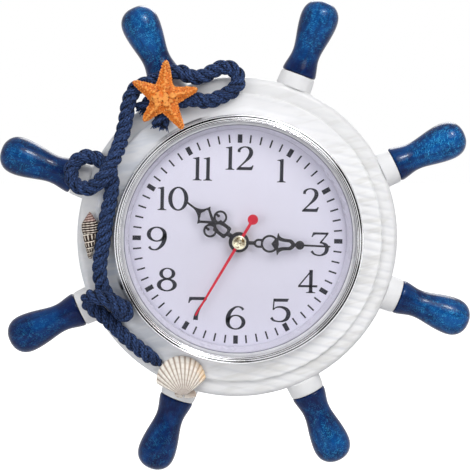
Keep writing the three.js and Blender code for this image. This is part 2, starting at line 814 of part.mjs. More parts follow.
function intermediateWheel() {
  const level = intermediateLevel;
  const wheel = gear(intermediateTeeth, intermediateModule, intermediatePhase, level, wheelThickness);
  const pinion = gear(trainPinionTeeth, secondModule, intermediatePinionPhase, secondLevel, pinionThickness);
  return placed(piece('intermediate_wheel', joined(arbor(), wheel, pinion), whiteNylon), intermediatePlace);
}

function rotor() {
  const half = magnetLength / 2;
  const level = intermediateLevel;
  const magnet = rod(magnetRadius, magnetDepth - half, magnetDepth + half, turnedSides);
  const pinion = gear(trainPinionTeeth, intermediateModule, rotorPinionPhase, level, pinionThickness);
  return placed(piece('rotor', joined(arbor(), magnet, pinion), blackPlastic), rotorPlace);
}

function motionWheel() {
  const shaft = rod(arborRadius, knobHeight / 2, arborFront, arborSides);
  const wheel = gear(motionTeeth, cannonModule, motionPhase, motionLevel, wheelThickness);
  const pinion = gear(motionPinionTeeth, hourModule, motionPinionPhase, hourLevel, pinionThickness / 2);
  return placed(piece('motion_wheel', joined(shaft, wheel, pinion), whiteNylon), motionPlace);
}

function settingKnob() {
  const points = [];
  for (let i = 0; i < knobNotches; i += 1) {
    const angle = (i * 360) / knobNotches;
    points.push(polar(knobRadius, angle), polar(knobRadius, angle + 180 / knobNotches));
    points.push(polar(knobRadius - knobNotch, angle + 270 / knobNotches));
  }
  const socket = rod(arborRadius + running, knobHeight / 2 - running, knobHeight + overrun, arborSides);
  const geometry = cut(plate(outline(points), seat, seat + knobHeight), socket);
  return placed(piece('setting_knob', geometry, blackPlastic), motionPlace);
}

function roundedSquare(side, round) {
  const reach = side / 2 - round;
  return outline([
    ...arc(reach, reach, round, 0, 90, 3),
    ...arc(-reach, reach, round, 90, 180, 3),
    ...arc(-reach, -reach, round, 180, 270, 3),
    ...arc(reach, -reach, round, 270, 360, 3),
  ]);
}

function pivotHoles(back, front) {
  const radius = arborRadius + running;
  return [thirdPlace, intermediatePlace, rotorPlace, motionPlace].map(([x, z]) =>
    rod(radius, back, front, arborSides).translate(x, 0, z));
}

// Front case: the gear room, the cell's bay, the threaded bush, corner posts and the board's posts
function movementCaseFront() {
  const body = plate(roundedSquare(caseSide, caseRound), 0, caseDepth);
  const room = block(2 * roomHalf, roomHeight, -overrun, roomDepth, 0, roomMidZ);
  const bay = block(2 * roomHalf, bayHeight, -overrun, roomDepth, 0, cellZ);
  const bush = rod(bushRadius, roomDepth, bushEnd, turnedSides);
  const bore = rod(hourTubeRadius + running, roomDepth - overrun, bushEnd + overrun, turnedSides);
  const postReach = roomHalf - casePost / 2;
  const postRows = [roomFloorZ + casePost / 2, roomTopZ - casePost / 2];
  const posts = [-postReach, postReach].flatMap((x) => postRows.map((z) =>
    block(casePost, casePost, coverThickness + seat, roomDepth, x, z)));
  const boardPosts = boardPostPlaces().map(([x, z]) =>
    rod(boardPostRadius, roomDepth - boardPostHeight, roomDepth, arborSides).translate(x, 0, z));
  const shell = joined(cut(body, room, bay), bush, ...posts, ...boardPosts);
  const geometry = cut(shell, bore, ...pivotHoles(roomDepth - running, roomDepth + pivotDepth));
  return piece('movement_case_front', geometry, blackPlastic);
}

// Back cover: fits in the gear room's mouth and carries the setting knob's well
function movementCaseBack() {
  const panel = block(2 * (roomHalf - seat), roomHeight - 2 * seat, 0, coverThickness, 0, roomMidZ);
  const [x, z] = motionPlace;
  const wellRadius = knobRadius + knobWellMargin;
  const boss = rod(wellRadius + knobBossWall, 0, bossDepth, turnedSides).translate(x, 0, z);
  const well = rod(wellRadius, -overrun, wellDepth, turnedSides).translate(x, 0, z);
  const shaftHole = rod(arborRadius + running, 0, bossDepth + overrun, arborSides).translate(x, 0, z);
  const start = coverThickness - pivotDepth;
  const holes = pivotHoles(start, coverThickness + running);
  const centreHole = rod(sweepArborRadius + running, start, coverThickness + running, arborSides);
  const geometry = cut(joined(panel, boss), well, shaftHole, centreHole, ...holes);
  return piece('movement_case_back', geometry, blackPlastic);
}

function mountingWasher() {
  const front = washerBack + washerThickness;
  const geometry = tube(washerRadius, bushRadius + seat, washerBack, front, turnedSides);
  return piece('mounting_washer', geometry, brass);
}

function mountingNut() {
  const shape = outline(regular(nutAcrossCorners / 2, nutSides));
  shape.holes.push(hole(regular(bushRadius + seat, turnedSides)));
  return piece('mounting_nut', plate(shape, nutBack, nutBack + nutThickness), brass);
}

// Stator: a lamination with the rotor's eye in its lower bar and the coil's core as its upper bar
const statorFloorZ = rotorPlace[1] - statorBar / 2;
const coreZ = statorFloorZ + statorHeight - statorBar / 2;

function stator() {
  const back = magnetDepth - statorThickness / 2;
  const front = magnetDepth + statorThickness / 2;
  const [x, z] = rotorPlace;
  const midZ = statorFloorZ + statorHeight / 2;
  const frame = block(statorWidth, statorHeight, back, front, x, midZ);
  const innerWidth = statorWidth - 2 * statorBar;
  const innerHeight = statorHeight - 2 * statorBar;
  const window = block(innerWidth, innerHeight, back - overrun, front + overrun, x, midZ);
  const eyeRadius = magnetRadius + magnetGap;
  const eye = rod(eyeRadius + statorEyeWall, back, front, turnedSides).translate(x, 0, z);
  const eyeHole = rod(eyeRadius, back - overrun, front + overrun, turnedSides).translate(x, 0, z);
  return piece('stator', cut(joined(cut(frame, window), eye), eyeHole), zincSteel);
}

function coil() {
  const half = coilLength / 2;
  const bore = coilRadius - coilWall;
  const profile = [[bore, -half], [coilRadius, -half], [coilRadius, half], [bore, half]];
  const geometry = turned(profile, turnedSides).rotateZ(Math.PI / 2);
  return piece('coil', geometry.translate(rotorPlace[0], -magnetDepth, coreZ), copperWire);
}

const boardX = -roomHalf + seat + casePost / 2 + boardWidth / 2;
const boardZ = roomTopZ - casePost - seat - boardHeight / 2;
const boardFront = roomDepth - boardPostHeight - seat;
const boardBack = boardFront - boardThickness;

function boardPostPlaces() {
  const reach = boardWidth / 2 - 2 * boardPostRadius;
  return [[boardX - reach, boardZ], [boardX + reach, boardZ]];
}

function circuitBoard() {
  const geometry = block(boardWidth, boardHeight, boardBack, boardFront, boardX, boardZ);
  return piece('circuit_board', geometry, boardGreen);
}

function quartzCrystal() {
  const half = crystalLength / 2;
  const profile = [[0, -half], [crystalRadius, -half], [crystalRadius, half], [0, half]];
  const geometry = turned(profile, turnedSides).rotateZ(Math.PI / 2);
  geometry.translate(boardX - boardWidth / 4, -(boardBack - seat - crystalRadius), boardZ);
  return piece('quartz_crystal', geometry, zincSteel);
}

function controlChip() {
  const back = boardBack - seat - chipHeight;
  const profile = [[0, back], [chipRadius / 2, back], [chipRadius, back + chipHeight / 2]];
  const foot = [[chipRadius, boardBack - seat], [0, boardBack - seat]];
  const geometry = turned([...profile, ...foot], turnedSides);
  return piece('control_chip', geometry.translate(boardX + boardWidth / 4, 0, boardZ), blackPlastic);
}

// Cell: its nub points to +X, and it lifts out of the bay to the back
function cell() {
  const start = cellEnd - cellLength;
  const shoulder = cellEnd - cellNubLength;
  const profile = [
    [0, start],
    [cellRadius - cellRim, start],
    [cellRadius, start + cellRim],
    [cellRadius, shoulder - cellRim],
    [cellRadius - cellRim, shoulder],
    [cellNubRadius, shoulder],
    [cellNubRadius, cellEnd],
    [0, cellEnd],
  ];
  const geometry = turned(profile, hubSides).rotateZ(Math.PI / 2);
  return piece('battery_cell', geometry.translate(0, -cellDepth, cellZ), cellWrap);
}

function contactPositive() {
  const x = roomHalf - seat - contactThickness / 2;
  const geometry = new THREE.BoxGeometry(contactThickness, contactHeight, contactWidth);
  return piece('battery_contact_positive', geometry.translate(x, -cellDepth, cellZ), zincSteel);
}

// Negative contact: a strip whose middle is bowed towards the cell
function contactNegative() {
  const wall = -roomHalf + seat;
  const face = wall + contactThickness;
  const rise = contactHeight / 2;
  const points = [
    [wall, -rise],
    [face, -rise],
    [face, -rise / 2],
    [face + contactSpring, 0],
    [face, rise / 2],
    [face, rise],
    [wall, rise],
  ];
  const geometry = new THREE.ExtrudeGeometry(outline(points), { depth: contactWidth, bevelEnabled: false });
  geometry.translate(0, -cellDepth, cellZ - contactWidth / 2);
  return piece('battery_contact_negative', geometry, zincSteel);
}

// Hands. A flat form from a mirrored half outline, in shares of the hand's length
function mirrored(shares, length) {
  const right = shares.map(([x, z]) => [x * length, z * length]);
  const left = right.filter(([x]) => x > 0).reverse().map(([x, z]) => [-x, z]);
  return [...right, ...left];
}

function flatForm(shares, holeShares, length, back) {
  const shape = outline(mirrored(shares, length));
  if (holeShares) shape.holes.push(hole(mirrored(holeShares, length)));
  return plate(shape, back, back + handThickness);
}

function bar(halfWidth, from, to, back, thickness, endHalfWidth = halfWidth) {
  const points = [[-halfWidth, from], [halfWidth, from], [endHalfWidth, to], [-endHalfWidth, to]];
  return plate(outline(points), back, back + thickness);
}

function hub(boreRadius, back) {
  return tube(hubRadius, boreRadius, back, back + handThickness, hubSides);
}

function hourHand() {
  const back = hourHandBack;
  const front = back + handThickness;
  const ring = hourRingShare * hourLength;
  const rings = [-1, 1].flatMap((side) => {
    const x = side * hourRingOffsetShare * hourLength;
    const z = hourRingPlaceShare * hourLength;
    const dotZ = z + ring - hourRingWallShare * hourLength;
    return [
      tube(ring, ring - hourRingWallShare * hourLength, back, front, handRingSides).translate(x, 0, z),
      rod(hourDotShare * hourLength, back, front, arborSides).translate(x, 0, dotZ),
    ];
  });
  const geometry = joined(
    hub(hourTubeRadius + running, back),
    bar(hourNeckShare * hourLength, neckStart, hourLyreShares[1][1] * hourLength, back, handThickness),
    flatForm(hourLyreShares, hourLyreHoleShares, hourLength, back),
    flatForm(hourKiteShares, hourKiteHoleShares, hourLength, back),
    ...rings,
  );
  const hand = piece('hour_hand', geometry, blackPaint);
  hand.rotation.y = radians(hourAngle);
  return hand;
}

function minuteHand() {
  const back = minuteHandBack;
  const front = back + handThickness;
  const ring = minuteRingShare * minuteLength;
  const ringWall = minuteRingWallShare * minuteLength;
  const ringZ = minuteRingPlaceShare * minuteLength;
  const ballZ = minuteBallPlaceShare * minuteLength;
  const needle = needleShare * minuteLength;
  const neckEnd = minuteLoopShares[1][1] * minuteLength;
  const geometry = joined(
    hub(minuteTubeRadius + running, back),
    bar(minuteNeckShare * minuteLength, neckStart, neckEnd, back, handThickness),
    flatForm(minuteLoopShares, minuteLoopHoleShares, minuteLength, back),
    tube(ring, ring - ringWall, back, front, hubSides).translate(0, 0, ringZ),
    flatForm(minuteLensShares, null, minuteLength, back),
    flatForm(minuteTulipShares, minuteTulipHoleShares, minuteLength, back),
    rod(minuteBallShare * minuteLength, back, front, handRingSides).translate(0, 0, ballZ),
    bar(needle, ballZ, minuteLength, back, handThickness, needle / 2),
  );
  const hand = piece('minute_hand', geometry, blackPaint);
  hand.rotation.y = radians(minuteAngle);
  return hand;
}

function secondHand() {
  const back = sweepHandBack;
  const front = back + sweepHandThickness;
  const half = sweepHandWidth / 2;
  const blade = joined(
    rod(capRadius - seat, back, front, turnedSides),
    bar(half, -sweepHandTail, 0, back, sweepHandThickness),
    bar(half, 0, sweepHandLength, back, sweepHandThickness, sweepHandPointWidth / 2),
    rod(sweepHandDiscRadius, back, front, turnedSides).translate(0, 0, -sweepHandTail),
  );
  const bore = rod(sweepArborRadius + running, back - overrun, front + overrun, arborSides);
  const hand = piece('second_hand', cut(blade, bore), redPaint);
  hand.rotation.y = radians(sweepHandAngle);
  return hand;
}

function secondHandCap() {
  const bore = rod(sweepArborRadius + running, capBack - overrun, capBack + seat + running, arborSides);
  return piece('second_hand_cap', cut(dome(capRadius, capHeight, capBack, hubSides), bore), brass);
}

// Rope, as one tube along its route
function ropeCurve(route) {
  return new THREE.CatmullRomCurve3(route.map((point) => new THREE.Vector3(...point)), false, 'centripetal');
}

function ropePiece(name, route, steps) {
  const section = outline(regular(ropeDiameter / 2, ropeSides));
  const extrudePath = ropeCurve(route);
  const geometry = new THREE.ExtrudeGeometry(section, { steps, bevelEnabled: false, extrudePath });
  return piece(name, geometry, ropeCotton);
}

// Least distance between two turns of the rope, less its diameter
function leastSelfGap(route) {
  const curve = ropeCurve(route);
  const count = Math.round(curve.getLength());
  const points = curve.getSpacedPoints(count);
  const apart = Math.round(2 * ropeDiameter);
  let least = Infinity;
  for (let i = 0; i <= count; i += 1) {
    for (let j = i + apart; j <= count; j += 1) least = Math.min(least, points[i].distanceTo(points[j]));
  }
  return least - ropeDiameter;
}

console.log(`rope length ${ropeCurve(ropeRoute).getLength().toFixed(1)} mm`);
console.log(`rope's least gap to itself ${leastSelfGap(ropeRoute).toFixed(2)} mm`);

// A closed form from rings of points, with the first and last ring closed to one point each
function ringsGeometry(first, rings, last) {
  const points = [first, ...rings.flat(), last];
  const count = rings[0].length;
  const corners = [];
  const end = points.length - 1;
  for (let i = 0; i < count; i += 1) {
    const next = (i + 1) % count;
    corners.push(0, 1 + i, 1 + next);
    for (let r = 0; r < rings.length - 1; r += 1) {
      const [a, b] = [1 + r * count + i, 1 + r * count + next];
      corners.push(a, a + count, b, b, a + count, b + count);
    }
    corners.push(end, end - count + next, end - count + i);
  }
  const geometry = new THREE.BufferGeometry();
  geometry.setAttribute('position', new THREE.Float32BufferAttribute(points.flat(), 3));
  geometry.setIndex(corners);
  return geometry;
}

// Starfish edge: for each arm its two flanks and its blunt tip, then the valley to the next arm
function starEdgePoints() {
  const points = [];
  starArmAngles.forEach((angle, i) => {
    const length = starArmLengths[i];
    const nextAngle = starArmAngles[(i + 1) % starArmAngles.length];
    const along = radians(90 - angle);
    const [c, s] = [Math.cos(along), Math.sin(along)];
    const base = starArmWidth / 2;
    const tip = starTipWidth / 2;
    const flanks = [
      [length * starWaistShare, -(base + tip) / 2], [length - tip, -tip], [length, 0], [length - tip, tip],
      [length * starWaistShare, (base + tip) / 2],
    ];
    flanks.forEach(([u, v]) => points.push([u * c - v * s, u * s + v * c]));
    const turn = ((nextAngle - angle - 540) % 360) + 180;
    const valley = radians(90 - angle - turn / 2);
    const reach = base / Math.sin(radians(Math.abs(turn) / 2));
    points.push([reach * Math.cos(valley), reach * Math.sin(valley)]);
  });
  return points;
}

function starfish() {
  const edge = starEdgePoints();
  const ring = (share, rise) => edge.map(([x, z]) => [
    starX + x * share, -(starDepth + starEdge + rise * (starRise - starEdge)), starZ + z * share,
  ]);
  const rings = [...starRingShares.map(([share, rise]) => ring(share, rise)), ring(1, 0)];
  const flat = edge.map(([x, z]) => [starX + x, -starDepth, starZ + z]);
  const crown = [starX, -(starDepth + starRise), starZ];
  return piece('starfish', ringsGeometry(crown, [...rings, flat], [starX, -starDepth, starZ]), starfishSkin);
}

// Scallop: a ribbed fan from the hinge, an outer skin and an inner one a wall behind it
function scallopPoint(column, row, inner) {
  const columns = 2 * scallopRibs;
  const angle = scallopSpreadAngle * ((2 * column) / columns - 1);
  const turn = radians(angle);
  const side = scallopFanCentre * Math.sin(turn);
  const reach = scallopFanCentre * Math.cos(turn) + Math.sqrt(scallopFanRadius ** 2 - side ** 2);
  const share = row / scallopRows;
  const distance = scallopHinge + (reach - scallopHinge) * share;
  const along = scallopRootShare + (1 - scallopRootShare) * share;
  const crown = Math.sin(Math.PI * along) * Math.cos(turn * scallopSideShare);
  const rib = (column % 2 ? 1 : 0) * scallopRibHeight * share;
  const rise = scallopRise * Math.max(crown, 0) + (inner ? 0 : scallopWall + rib);
  const direction = turn + radians(scallopTiltAngle);
  return [
    scallopX + distance * Math.sin(direction),
    -(scallopDepth + rise),
    scallopZ + distance * Math.cos(direction),
  ];
}

function scallopShell() {
  const columns = 2 * scallopRibs;
  const points = [];
  for (const inner of [false, true]) {
    for (let row = 0; row <= scallopRows; row += 1) {
      for (let column = 0; column <= columns; column += 1) points.push(scallopPoint(column, row, inner));
    }
  }
  const width = columns + 1;
  const layer = width * (scallopRows + 1);
  const corners = [];
  const quad = (a, b, c, d) => corners.push(a, b, c, a, c, d);
  for (let row = 0; row < scallopRows; row += 1) {
    for (let column = 0; column < columns; column += 1) {
      const a = row * width + column;
      quad(a, a + 1, a + 1 + width, a + width);
      quad(layer + a, layer + a + width, layer + a + 1 + width, layer + a + 1);
    }
    const left = row * width;
    const right = left + columns;
    quad(left, left + width, layer + left + width, layer + left);
    quad(right, layer + right, layer + right + width, right + width);
  }
  for (let column = 0; column < columns; column += 1) {
    const near = column;
    const far = scallopRows * width + column;
    quad(near, layer + near, layer + near + 1, near + 1);
    quad(far, far + 1, layer + far + 1, layer + far);
  }
  const geometry = new THREE.BufferGeometry();
  geometry.setAttribute('position', new THREE.Float32BufferAttribute(points.flat(), 3));
  geometry.setIndex(corners);
  return piece('scallop_shell', geometry, scallopShellFinish);
}

function spiralShell() {
  const profile = [[0, spiralTip]];
  spiralWhorlShares.forEach(([along, girth], i) => {
    const z = spiralTip + along * spiralLength;
    profile.push([girth * spiralRadius, z]);
    const nextAlong = i + 1 < spiralWhorlShares.length ? spiralWhorlShares[i + 1][0] : 1;
    const grooveZ = spiralTip + ((along + nextAlong) / 2) * spiralLength;
    profile.push([Math.max(girth * spiralRadius - spiralGroove, spiralGroove), grooveZ]);
  });
  profile.push([0, spiralTip + spiralLength]);
  const shell = piece('spiral_shell', turnedUp(profile, spiralSides), spiralShellFinish);
  shell.position.set(spiralX, -spiralDepth, 0);
  return shell;
}

const wheel = group(
  wheelRim(),
  ...handleAngles().map((angle, i) => spoke(angle, i + 1)),
  hangerPlate(),
  ...screwPlaces().map((x, i) => hangerScrew(x, i + 1)),
);

const insert = group(bezel(), lens(), reflectorRing(), dial(), dialCup(), frictionBand());

const movement = group(
  movementCaseFront(),
  movementCaseBack(),
  mountingWasher(),
  mountingNut(),
  hourWheel(),
  minuteArbor(),
  centreWheel(),
  secondWheel(),
  thirdWheel(),
  intermediateWheel(),
  rotor(),
  motionWheel(),
  settingKnob(),
  stator(),
  coil(),
  circuitBoard(),
  quartzCrystal(),
  controlChip(),
  cell(),
  contactPositive(),
  contactNegative(),
  hourHand(),
  minuteHand(),
  secondHand(),
  secondHandCap(),
);
movement.position.set(shaftX, 0, shaftZ);

const trimmings = group(
  ropePiece('rope', ropeRoute, ropeSteps),
  ropePiece('rope_tail', tailRoute, tailSteps),
  starfish(),
  scallopShell(),
  spiralShell(),
);

export default group(wheel, insert, movement, trimmings);
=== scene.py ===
"""Ship wheel clock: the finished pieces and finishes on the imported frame, laid out as an add-on.

Sizes in the code are millimetres in the frame's axes: X to the right, Y to the back, Z up.
A depth is measured from the wall plane forwards, so it is -Y.
"""

import functools
import math
import random

import bpy
import numpy as np
from mathutils import Matrix, Vector, noise


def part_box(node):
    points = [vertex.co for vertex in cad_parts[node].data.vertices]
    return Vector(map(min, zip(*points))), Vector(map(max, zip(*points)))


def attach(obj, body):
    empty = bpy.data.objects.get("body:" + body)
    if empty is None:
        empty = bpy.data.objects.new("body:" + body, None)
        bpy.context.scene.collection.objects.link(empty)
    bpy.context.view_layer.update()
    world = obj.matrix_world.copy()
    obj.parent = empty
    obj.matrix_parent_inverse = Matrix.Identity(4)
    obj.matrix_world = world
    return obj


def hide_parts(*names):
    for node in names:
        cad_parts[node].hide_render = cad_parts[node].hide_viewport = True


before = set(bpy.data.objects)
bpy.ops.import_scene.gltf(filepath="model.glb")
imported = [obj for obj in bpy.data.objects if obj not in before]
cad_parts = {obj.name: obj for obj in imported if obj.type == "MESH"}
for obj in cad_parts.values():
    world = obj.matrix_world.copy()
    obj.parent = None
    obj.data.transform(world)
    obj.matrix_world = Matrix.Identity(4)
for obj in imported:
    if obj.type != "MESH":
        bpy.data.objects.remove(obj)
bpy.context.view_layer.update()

bl_info = {
    "name": "Ship Wheel Clock",
    "version": (1, 0, 0),
    "blender": (4, 5, 0),
    "location": "3D View > Sidebar > Clock",
    "description": "Builds the pieces and finishes of a ship wheel wall clock on its CAD frame",
    "category": "Add Mesh",
}

FULL_TURN = 2 * math.pi
# X and Z of the hands' shaft
SHAFT = (0.25, -1.9)
HANDLE_COUNT = 8
# Clock angle of the first handle, and the depth of the handles' middle lines
HANDLE_ANGLE = 20.6
HANDLE_DEPTH = 10.5

ROPE_ROUTE = [
    (-43.2, -27.1, 63.6), (-42.2, -27.1, 68.4), (-39.3, -26.9, 73.0), (-34.1, -26.9, 75.9),
    (-28.6, -27.0, 77.6), (-22.6, -27.1, 77.3), (-16.5, -27.1, 76.7), (-9.9, -27.1, 79.2),
    (-3.2, -26.9, 82.8), (-0.1, -25.4, 87.7), (-2.0, -24.8, 93.0), (-6.4, -24.6, 95.4),
    (-11.4, -24.6, 94.6), (-17.5, -24.6, 91.4), (-22.5, -24.6, 89.8), (-27.4, -24.6, 90.5),
    (-31.8, -24.6, 92.7), (-37.3, -24.6, 92.4), (-43.4, -24.6, 89.4), (-50.0, -25.6, 86.6),
    (-56.4, -27.0, 84.0), (-60.4, -27.2, 77.3), (-61.8, -26.6, 70.1), (-63.9, -25.4, 59.7),
    (-66.4, -29.6, 51.5), (-69.9, -35.0, 43.5), (-75.4, -35.9, 34.9), (-82.7, -30.9, 29.1),
    (-91.1, -26.0, 31.6), (-92.4, -24.7, 39.9), (-86.1, -24.7, 45.9), (-77.6, -25.0, 44.6),
    (-71.6, -27.0, 38.8), (-70.2, -27.2, 31.6), (-71.0, -27.2, 23.4), (-73.0, -27.2, 14.5),
    (-74.3, -27.2, 5.6), (-75.5, -27.2, -2.7), (-77.2, -27.2, -13.8), (-76.8, -27.2, -22.2),
    (-73.8, -27.2, -30.0), (-68.9, -27.2, -36.2), (-65.4, -28.0, -41.0), (-62.5, -31.8, -41.0),
    (-64.2, -35.8, -36.2), (-68.9, -36.6, -33.6), (-75.3, -36.5, -31.2), (-80.4, -33.2, -30.4),
    (-84.0, -28.0, -33.2), (-81.4, -25.2, -38.2), (-77.0, -24.8, -41.4), (-71.9, -25.1, -45.9),
    (-64.6, -26.4, -53.0), (-56.3, -27.1, -60.1), (-51.2, -26.6, -64.2), (-47.2, -24.8, -67.4),
    (-44.2, -23.0, -69.9),
]
TAIL_ROUTE = [(-53.0, -24.0, 71.8), (-51.0, -24.4, 74.0), (-47.6, -24.6, 77.2)]


# Settings

def length(name, description, default):
    return bpy.props.FloatProperty(
        name=name, description=description, default=default, min=0.0, unit="LENGTH", precision=4
    )


def turn_angle(name, description, degrees):
    return bpy.props.FloatProperty(
        name=name, description=description, default=math.radians(degrees), subtype="ANGLE"
    )


def colour(name, description, red, green, blue):
    return bpy.props.FloatVectorProperty(
        name=name, description=description, size=3, min=0.0, max=1.0, subtype="COLOR",
        default=(linear(red), linear(green), linear(blue)),
    )


def linear(level):
    """A display level from 0 to 255 as a linear one from 0 to 1."""
    share = level / 255
    return share / 12.92 if share <= 0.04045 else ((share + 0.055) / 1.055) ** 2.4


class WheelSettings(bpy.types.PropertyGroup):
    rib_spacing: length("Rib spacing", "Distance from one rib of the rim to the next", 0.00486)
    rib_height: length("Rib height", "How far a rib's crown stands over its groove", 0.00036)
    rib_slope: turn_angle("Rib slope", "How far the ribs slope down to the right", 12.5)
    paint: colour("Paint", "White paint of the rim and collars", 243, 243, 244)
    # The shade is laid on the brush streaks, and as painted shade in the grooves between the ribs
    shade: colour("Shade", "Grey in the grooves of the paint", 196, 199, 207)
    varnish_dark: colour("Dark varnish", "Darker blue of the handles", 11, 28, 76)
    varnish_bright: colour("Bright varnish", "Brighter blue of the handles", 9, 80, 148)


class DialSettings(bpy.types.PropertyGroup):
    print_turn: turn_angle("Print turn", "How far the print is turned clockwise", 1.3)
    numeral_height: length("Numeral height", "Height of the numerals", 0.0131)
    card: colour("Card", "Pale card of the dial", 230, 228, 244)
    ink: colour("Ink", "Ink of the marks and numerals", 26, 26, 38)
    ring: colour("Reflector", "Plastic of the ring round the dial", 228, 226, 240)
    lens_opacity: bpy.props.FloatProperty(
        name="Lens opacity", description="How much the lens itself shows", default=0.006, min=0.0, max=1.0
    )


class HandSettings(bpy.types.PropertyGroup):
    black: colour("Black", "Paint of the hour and minute hand", 24, 22, 30)
    red: colour("Red", "Paint of the second hand", 206, 20, 50)
    brass: colour("Brass", "Metal of the cap, nut and washer", 214, 184, 110)


class RopeSettings(bpy.types.PropertyGroup):
    diameter: length("Diameter", "Diameter of the rope", 0.0084)
    lay: length("Lay", "Length of one turn of a strand", 0.017)
    yarns: bpy.props.IntProperty(
        name="Yarns", description="Yarns that show round one strand", default=9, min=4, max=20
    )
    # The dark cotton is painted shade between the yarns and strands, and the bright cotton painted light on
    # their crowns
    dark: colour("Dark cotton", "Cotton between the yarns", 1, 3, 12)
    bright: colour("Bright cotton", "Cotton on the crown of the yarns", 51, 71, 114)


class TrimmingSettings(bpy.types.PropertyGroup):
    star: colour("Starfish", "Skin of the starfish", 228, 124, 42)
    # The pits' colour is painted shade
    star_dark: colour("Starfish pits", "Skin in the pits of the starfish", 130, 56, 16)
    scallop: colour("Scallop", "Ribs of the scallop shell", 236, 230, 221)
    # The groove colour is partly the shell's own brown and partly painted shade
    scallop_dark: colour("Scallop grooves", "Grooves of the scallop shell", 156, 132, 116)
    spiral: colour("Spiral shell", "Beads of the spiral shell", 240, 230, 216)
    spiral_dark: colour("Spiral shell grooves", "Grooves of the spiral shell", 16, 12, 14)


class StageSettings(bpy.types.PropertyGroup):
    distance: length("Distance", "From the camera to the middle of the wheel", 1.0)
    azimuth: turn_angle("Azimuth", "Turn of the camera round the clock", -3.0)
    elevation: turn_angle("Elevation", "Height of the camera over the horizon", 5.0)
    field: turn_angle("Field of view", "Width of the camera's view", 15.13)
    floor_drop: length("Floor drop", "From the wheel's axis down to the floor", 0.32)


# Modelling by hand

def clear_selection():
    if bpy.context.object is not None and bpy.context.object.mode != "OBJECT":
        bpy.ops.object.mode_set(mode="OBJECT")
    bpy.ops.object.select_all(action="DESELECT")


def take(piece):
    """Makes a piece the only one selected and the active one."""
    clear_selection()
    piece.select_set(True)
    bpy.context.view_layer.objects.active = piece


def settle(piece):
    take(piece)
    bpy.ops.object.transform_apply(location=True, rotation=True, scale=True)


def metres(point):
    return Vector(point) / 1000


def draw_line(name, points):
    """A line through points in millimetres, drawn by extruding one vertex."""
    clear_selection()
    corners = [metres(point) for point in points]
    bpy.ops.mesh.primitive_plane_add(size=0.001, location=corners[0])
    line = bpy.context.object
    line.name = name
    settle(line)
    bpy.ops.object.mode_set(mode="EDIT")
    bpy.ops.mesh.select_all(action="SELECT")
    bpy.ops.mesh.merge(type="CENTER")
    for start, end in zip(corners, corners[1:]):
        bpy.ops.mesh.extrude_vertices_move(TRANSFORM_OT_translate={"value": end - start})
    bpy.ops.mesh.select_all(action="SELECT")
    bpy.ops.object.mode_set(mode="OBJECT")
    return line


def in_edit(piece, *steps):
    """Runs mesh operators on the whole of a piece. A step is an operator and its settings."""
    take(piece)
    bpy.ops.object.mode_set(mode="EDIT")
    for operator, settings in steps:
        bpy.ops.mesh.select_all(action="SELECT")
        operator(**settings)
    bpy.ops.object.mode_set(mode="OBJECT")


def face_outwards(piece):
    in_edit(piece, (bpy.ops.mesh.normals_make_consistent, {"inside": False}))


def tidy_faces(piece, distance=2e-6):
    """Merges vertices that lie closer than a distance in metres, and turns the faces outwards."""
    in_edit(piece, (bpy.ops.mesh.remove_doubles, {"threshold": distance}))
    face_outwards(piece)


def smooth_shade(piece, angle=32):
    take(piece)
    bpy.ops.object.shade_smooth_by_angle(angle=math.radians(angle))


def turn(name, profile, steps, closed=True, smooth=32, upright=False):
    """A turned piece from a profile of (radius, depth), or of (radius, height) where it stands upright."""
    rows = list(profile) + ([profile[0]] if closed else [])
    places = [(radius, 0, along) if upright else (radius, -along, 0) for radius, along in rows]
    piece = draw_line(name, places)
    axis = (0, 0, 1) if upright else (0, 1, 0)
    settings = {"steps": steps, "angle": FULL_TURN, "center": (0, 0, 0), "axis": axis}
    in_edit(piece, (bpy.ops.mesh.spin, settings))
    tidy_faces(piece)
    if smooth is not None:
        smooth_shade(piece, smooth)
    return piece


def eased(points, radius, steps=3, closed=True):
    """The points with each corner rounded off."""
    made, count = [], len(points)
    for i, point in enumerate(points):
        if not closed and i in (0, count - 1):
            made.append(tuple(point))
            continue
        corner = Vector(point)
        before, after = Vector(points[i - 1]) - corner, Vector(points[(i + 1) % count]) - corner
        if before.length < 1e-6 or after.length < 1e-6 or before.angle(after) > math.radians(172):
            made.append(tuple(point))
            continue
        start = corner + before.normalized() * min(radius, 0.45 * before.length)
        end = corner + after.normalized() * min(radius, 0.45 * after.length)
        for step in range(steps + 1):
            t = step / steps
            made.append(tuple(start * (1 - t) ** 2 + corner * 2 * t * (1 - t) + end * t ** 2))
    return made


def from_points(name, points, faces, smooth=None):
    """A piece from points in millimetres and faces of their numbers."""
    mesh = bpy.data.meshes.new(name)
    mesh.from_pydata([tuple(metres(point)) for point in points], [], faces)
    mesh.update()
    piece = bpy.data.objects.new(name, mesh)
    bpy.context.scene.collection.objects.link(piece)
    if smooth is not None:
        smooth_shade(piece, smooth)
    return piece


def modify(piece, kind, **settings):
    """Adds a modifier with its settings and applies it."""
    modifier = piece.modifiers.new(kind.lower(), kind)
    for key, value in settings.items():
        setattr(modifier, key, value)
    take(piece)
    bpy.ops.object.modifier_apply(modifier=modifier.name)


def cut_away(piece, tool):
    modify(piece, "BOOLEAN", operation="DIFFERENCE", solver="EXACT", object=tool)
    bpy.data.objects.remove(tool)


def join(name, pieces):
    clear_selection()
    for piece in pieces:
        piece.select_set(True)
    bpy.context.view_layer.objects.active = pieces[0]
    bpy.ops.object.join()
    pieces[0].name = name
    return pieces[0]


def twin(piece, name):
    made = piece.copy()
    made.data = piece.data.copy()
    made.name = name
    made.data.name = name
    bpy.context.scene.collection.objects.link(made)
    return made


def turn_piece(piece, angle, axis=(0, 1, 0)):
    piece.data.transform(Matrix.Rotation(angle, 4, axis))


def shift_piece(piece, step):
    piece.data.transform(Matrix.Translation(metres(step)))


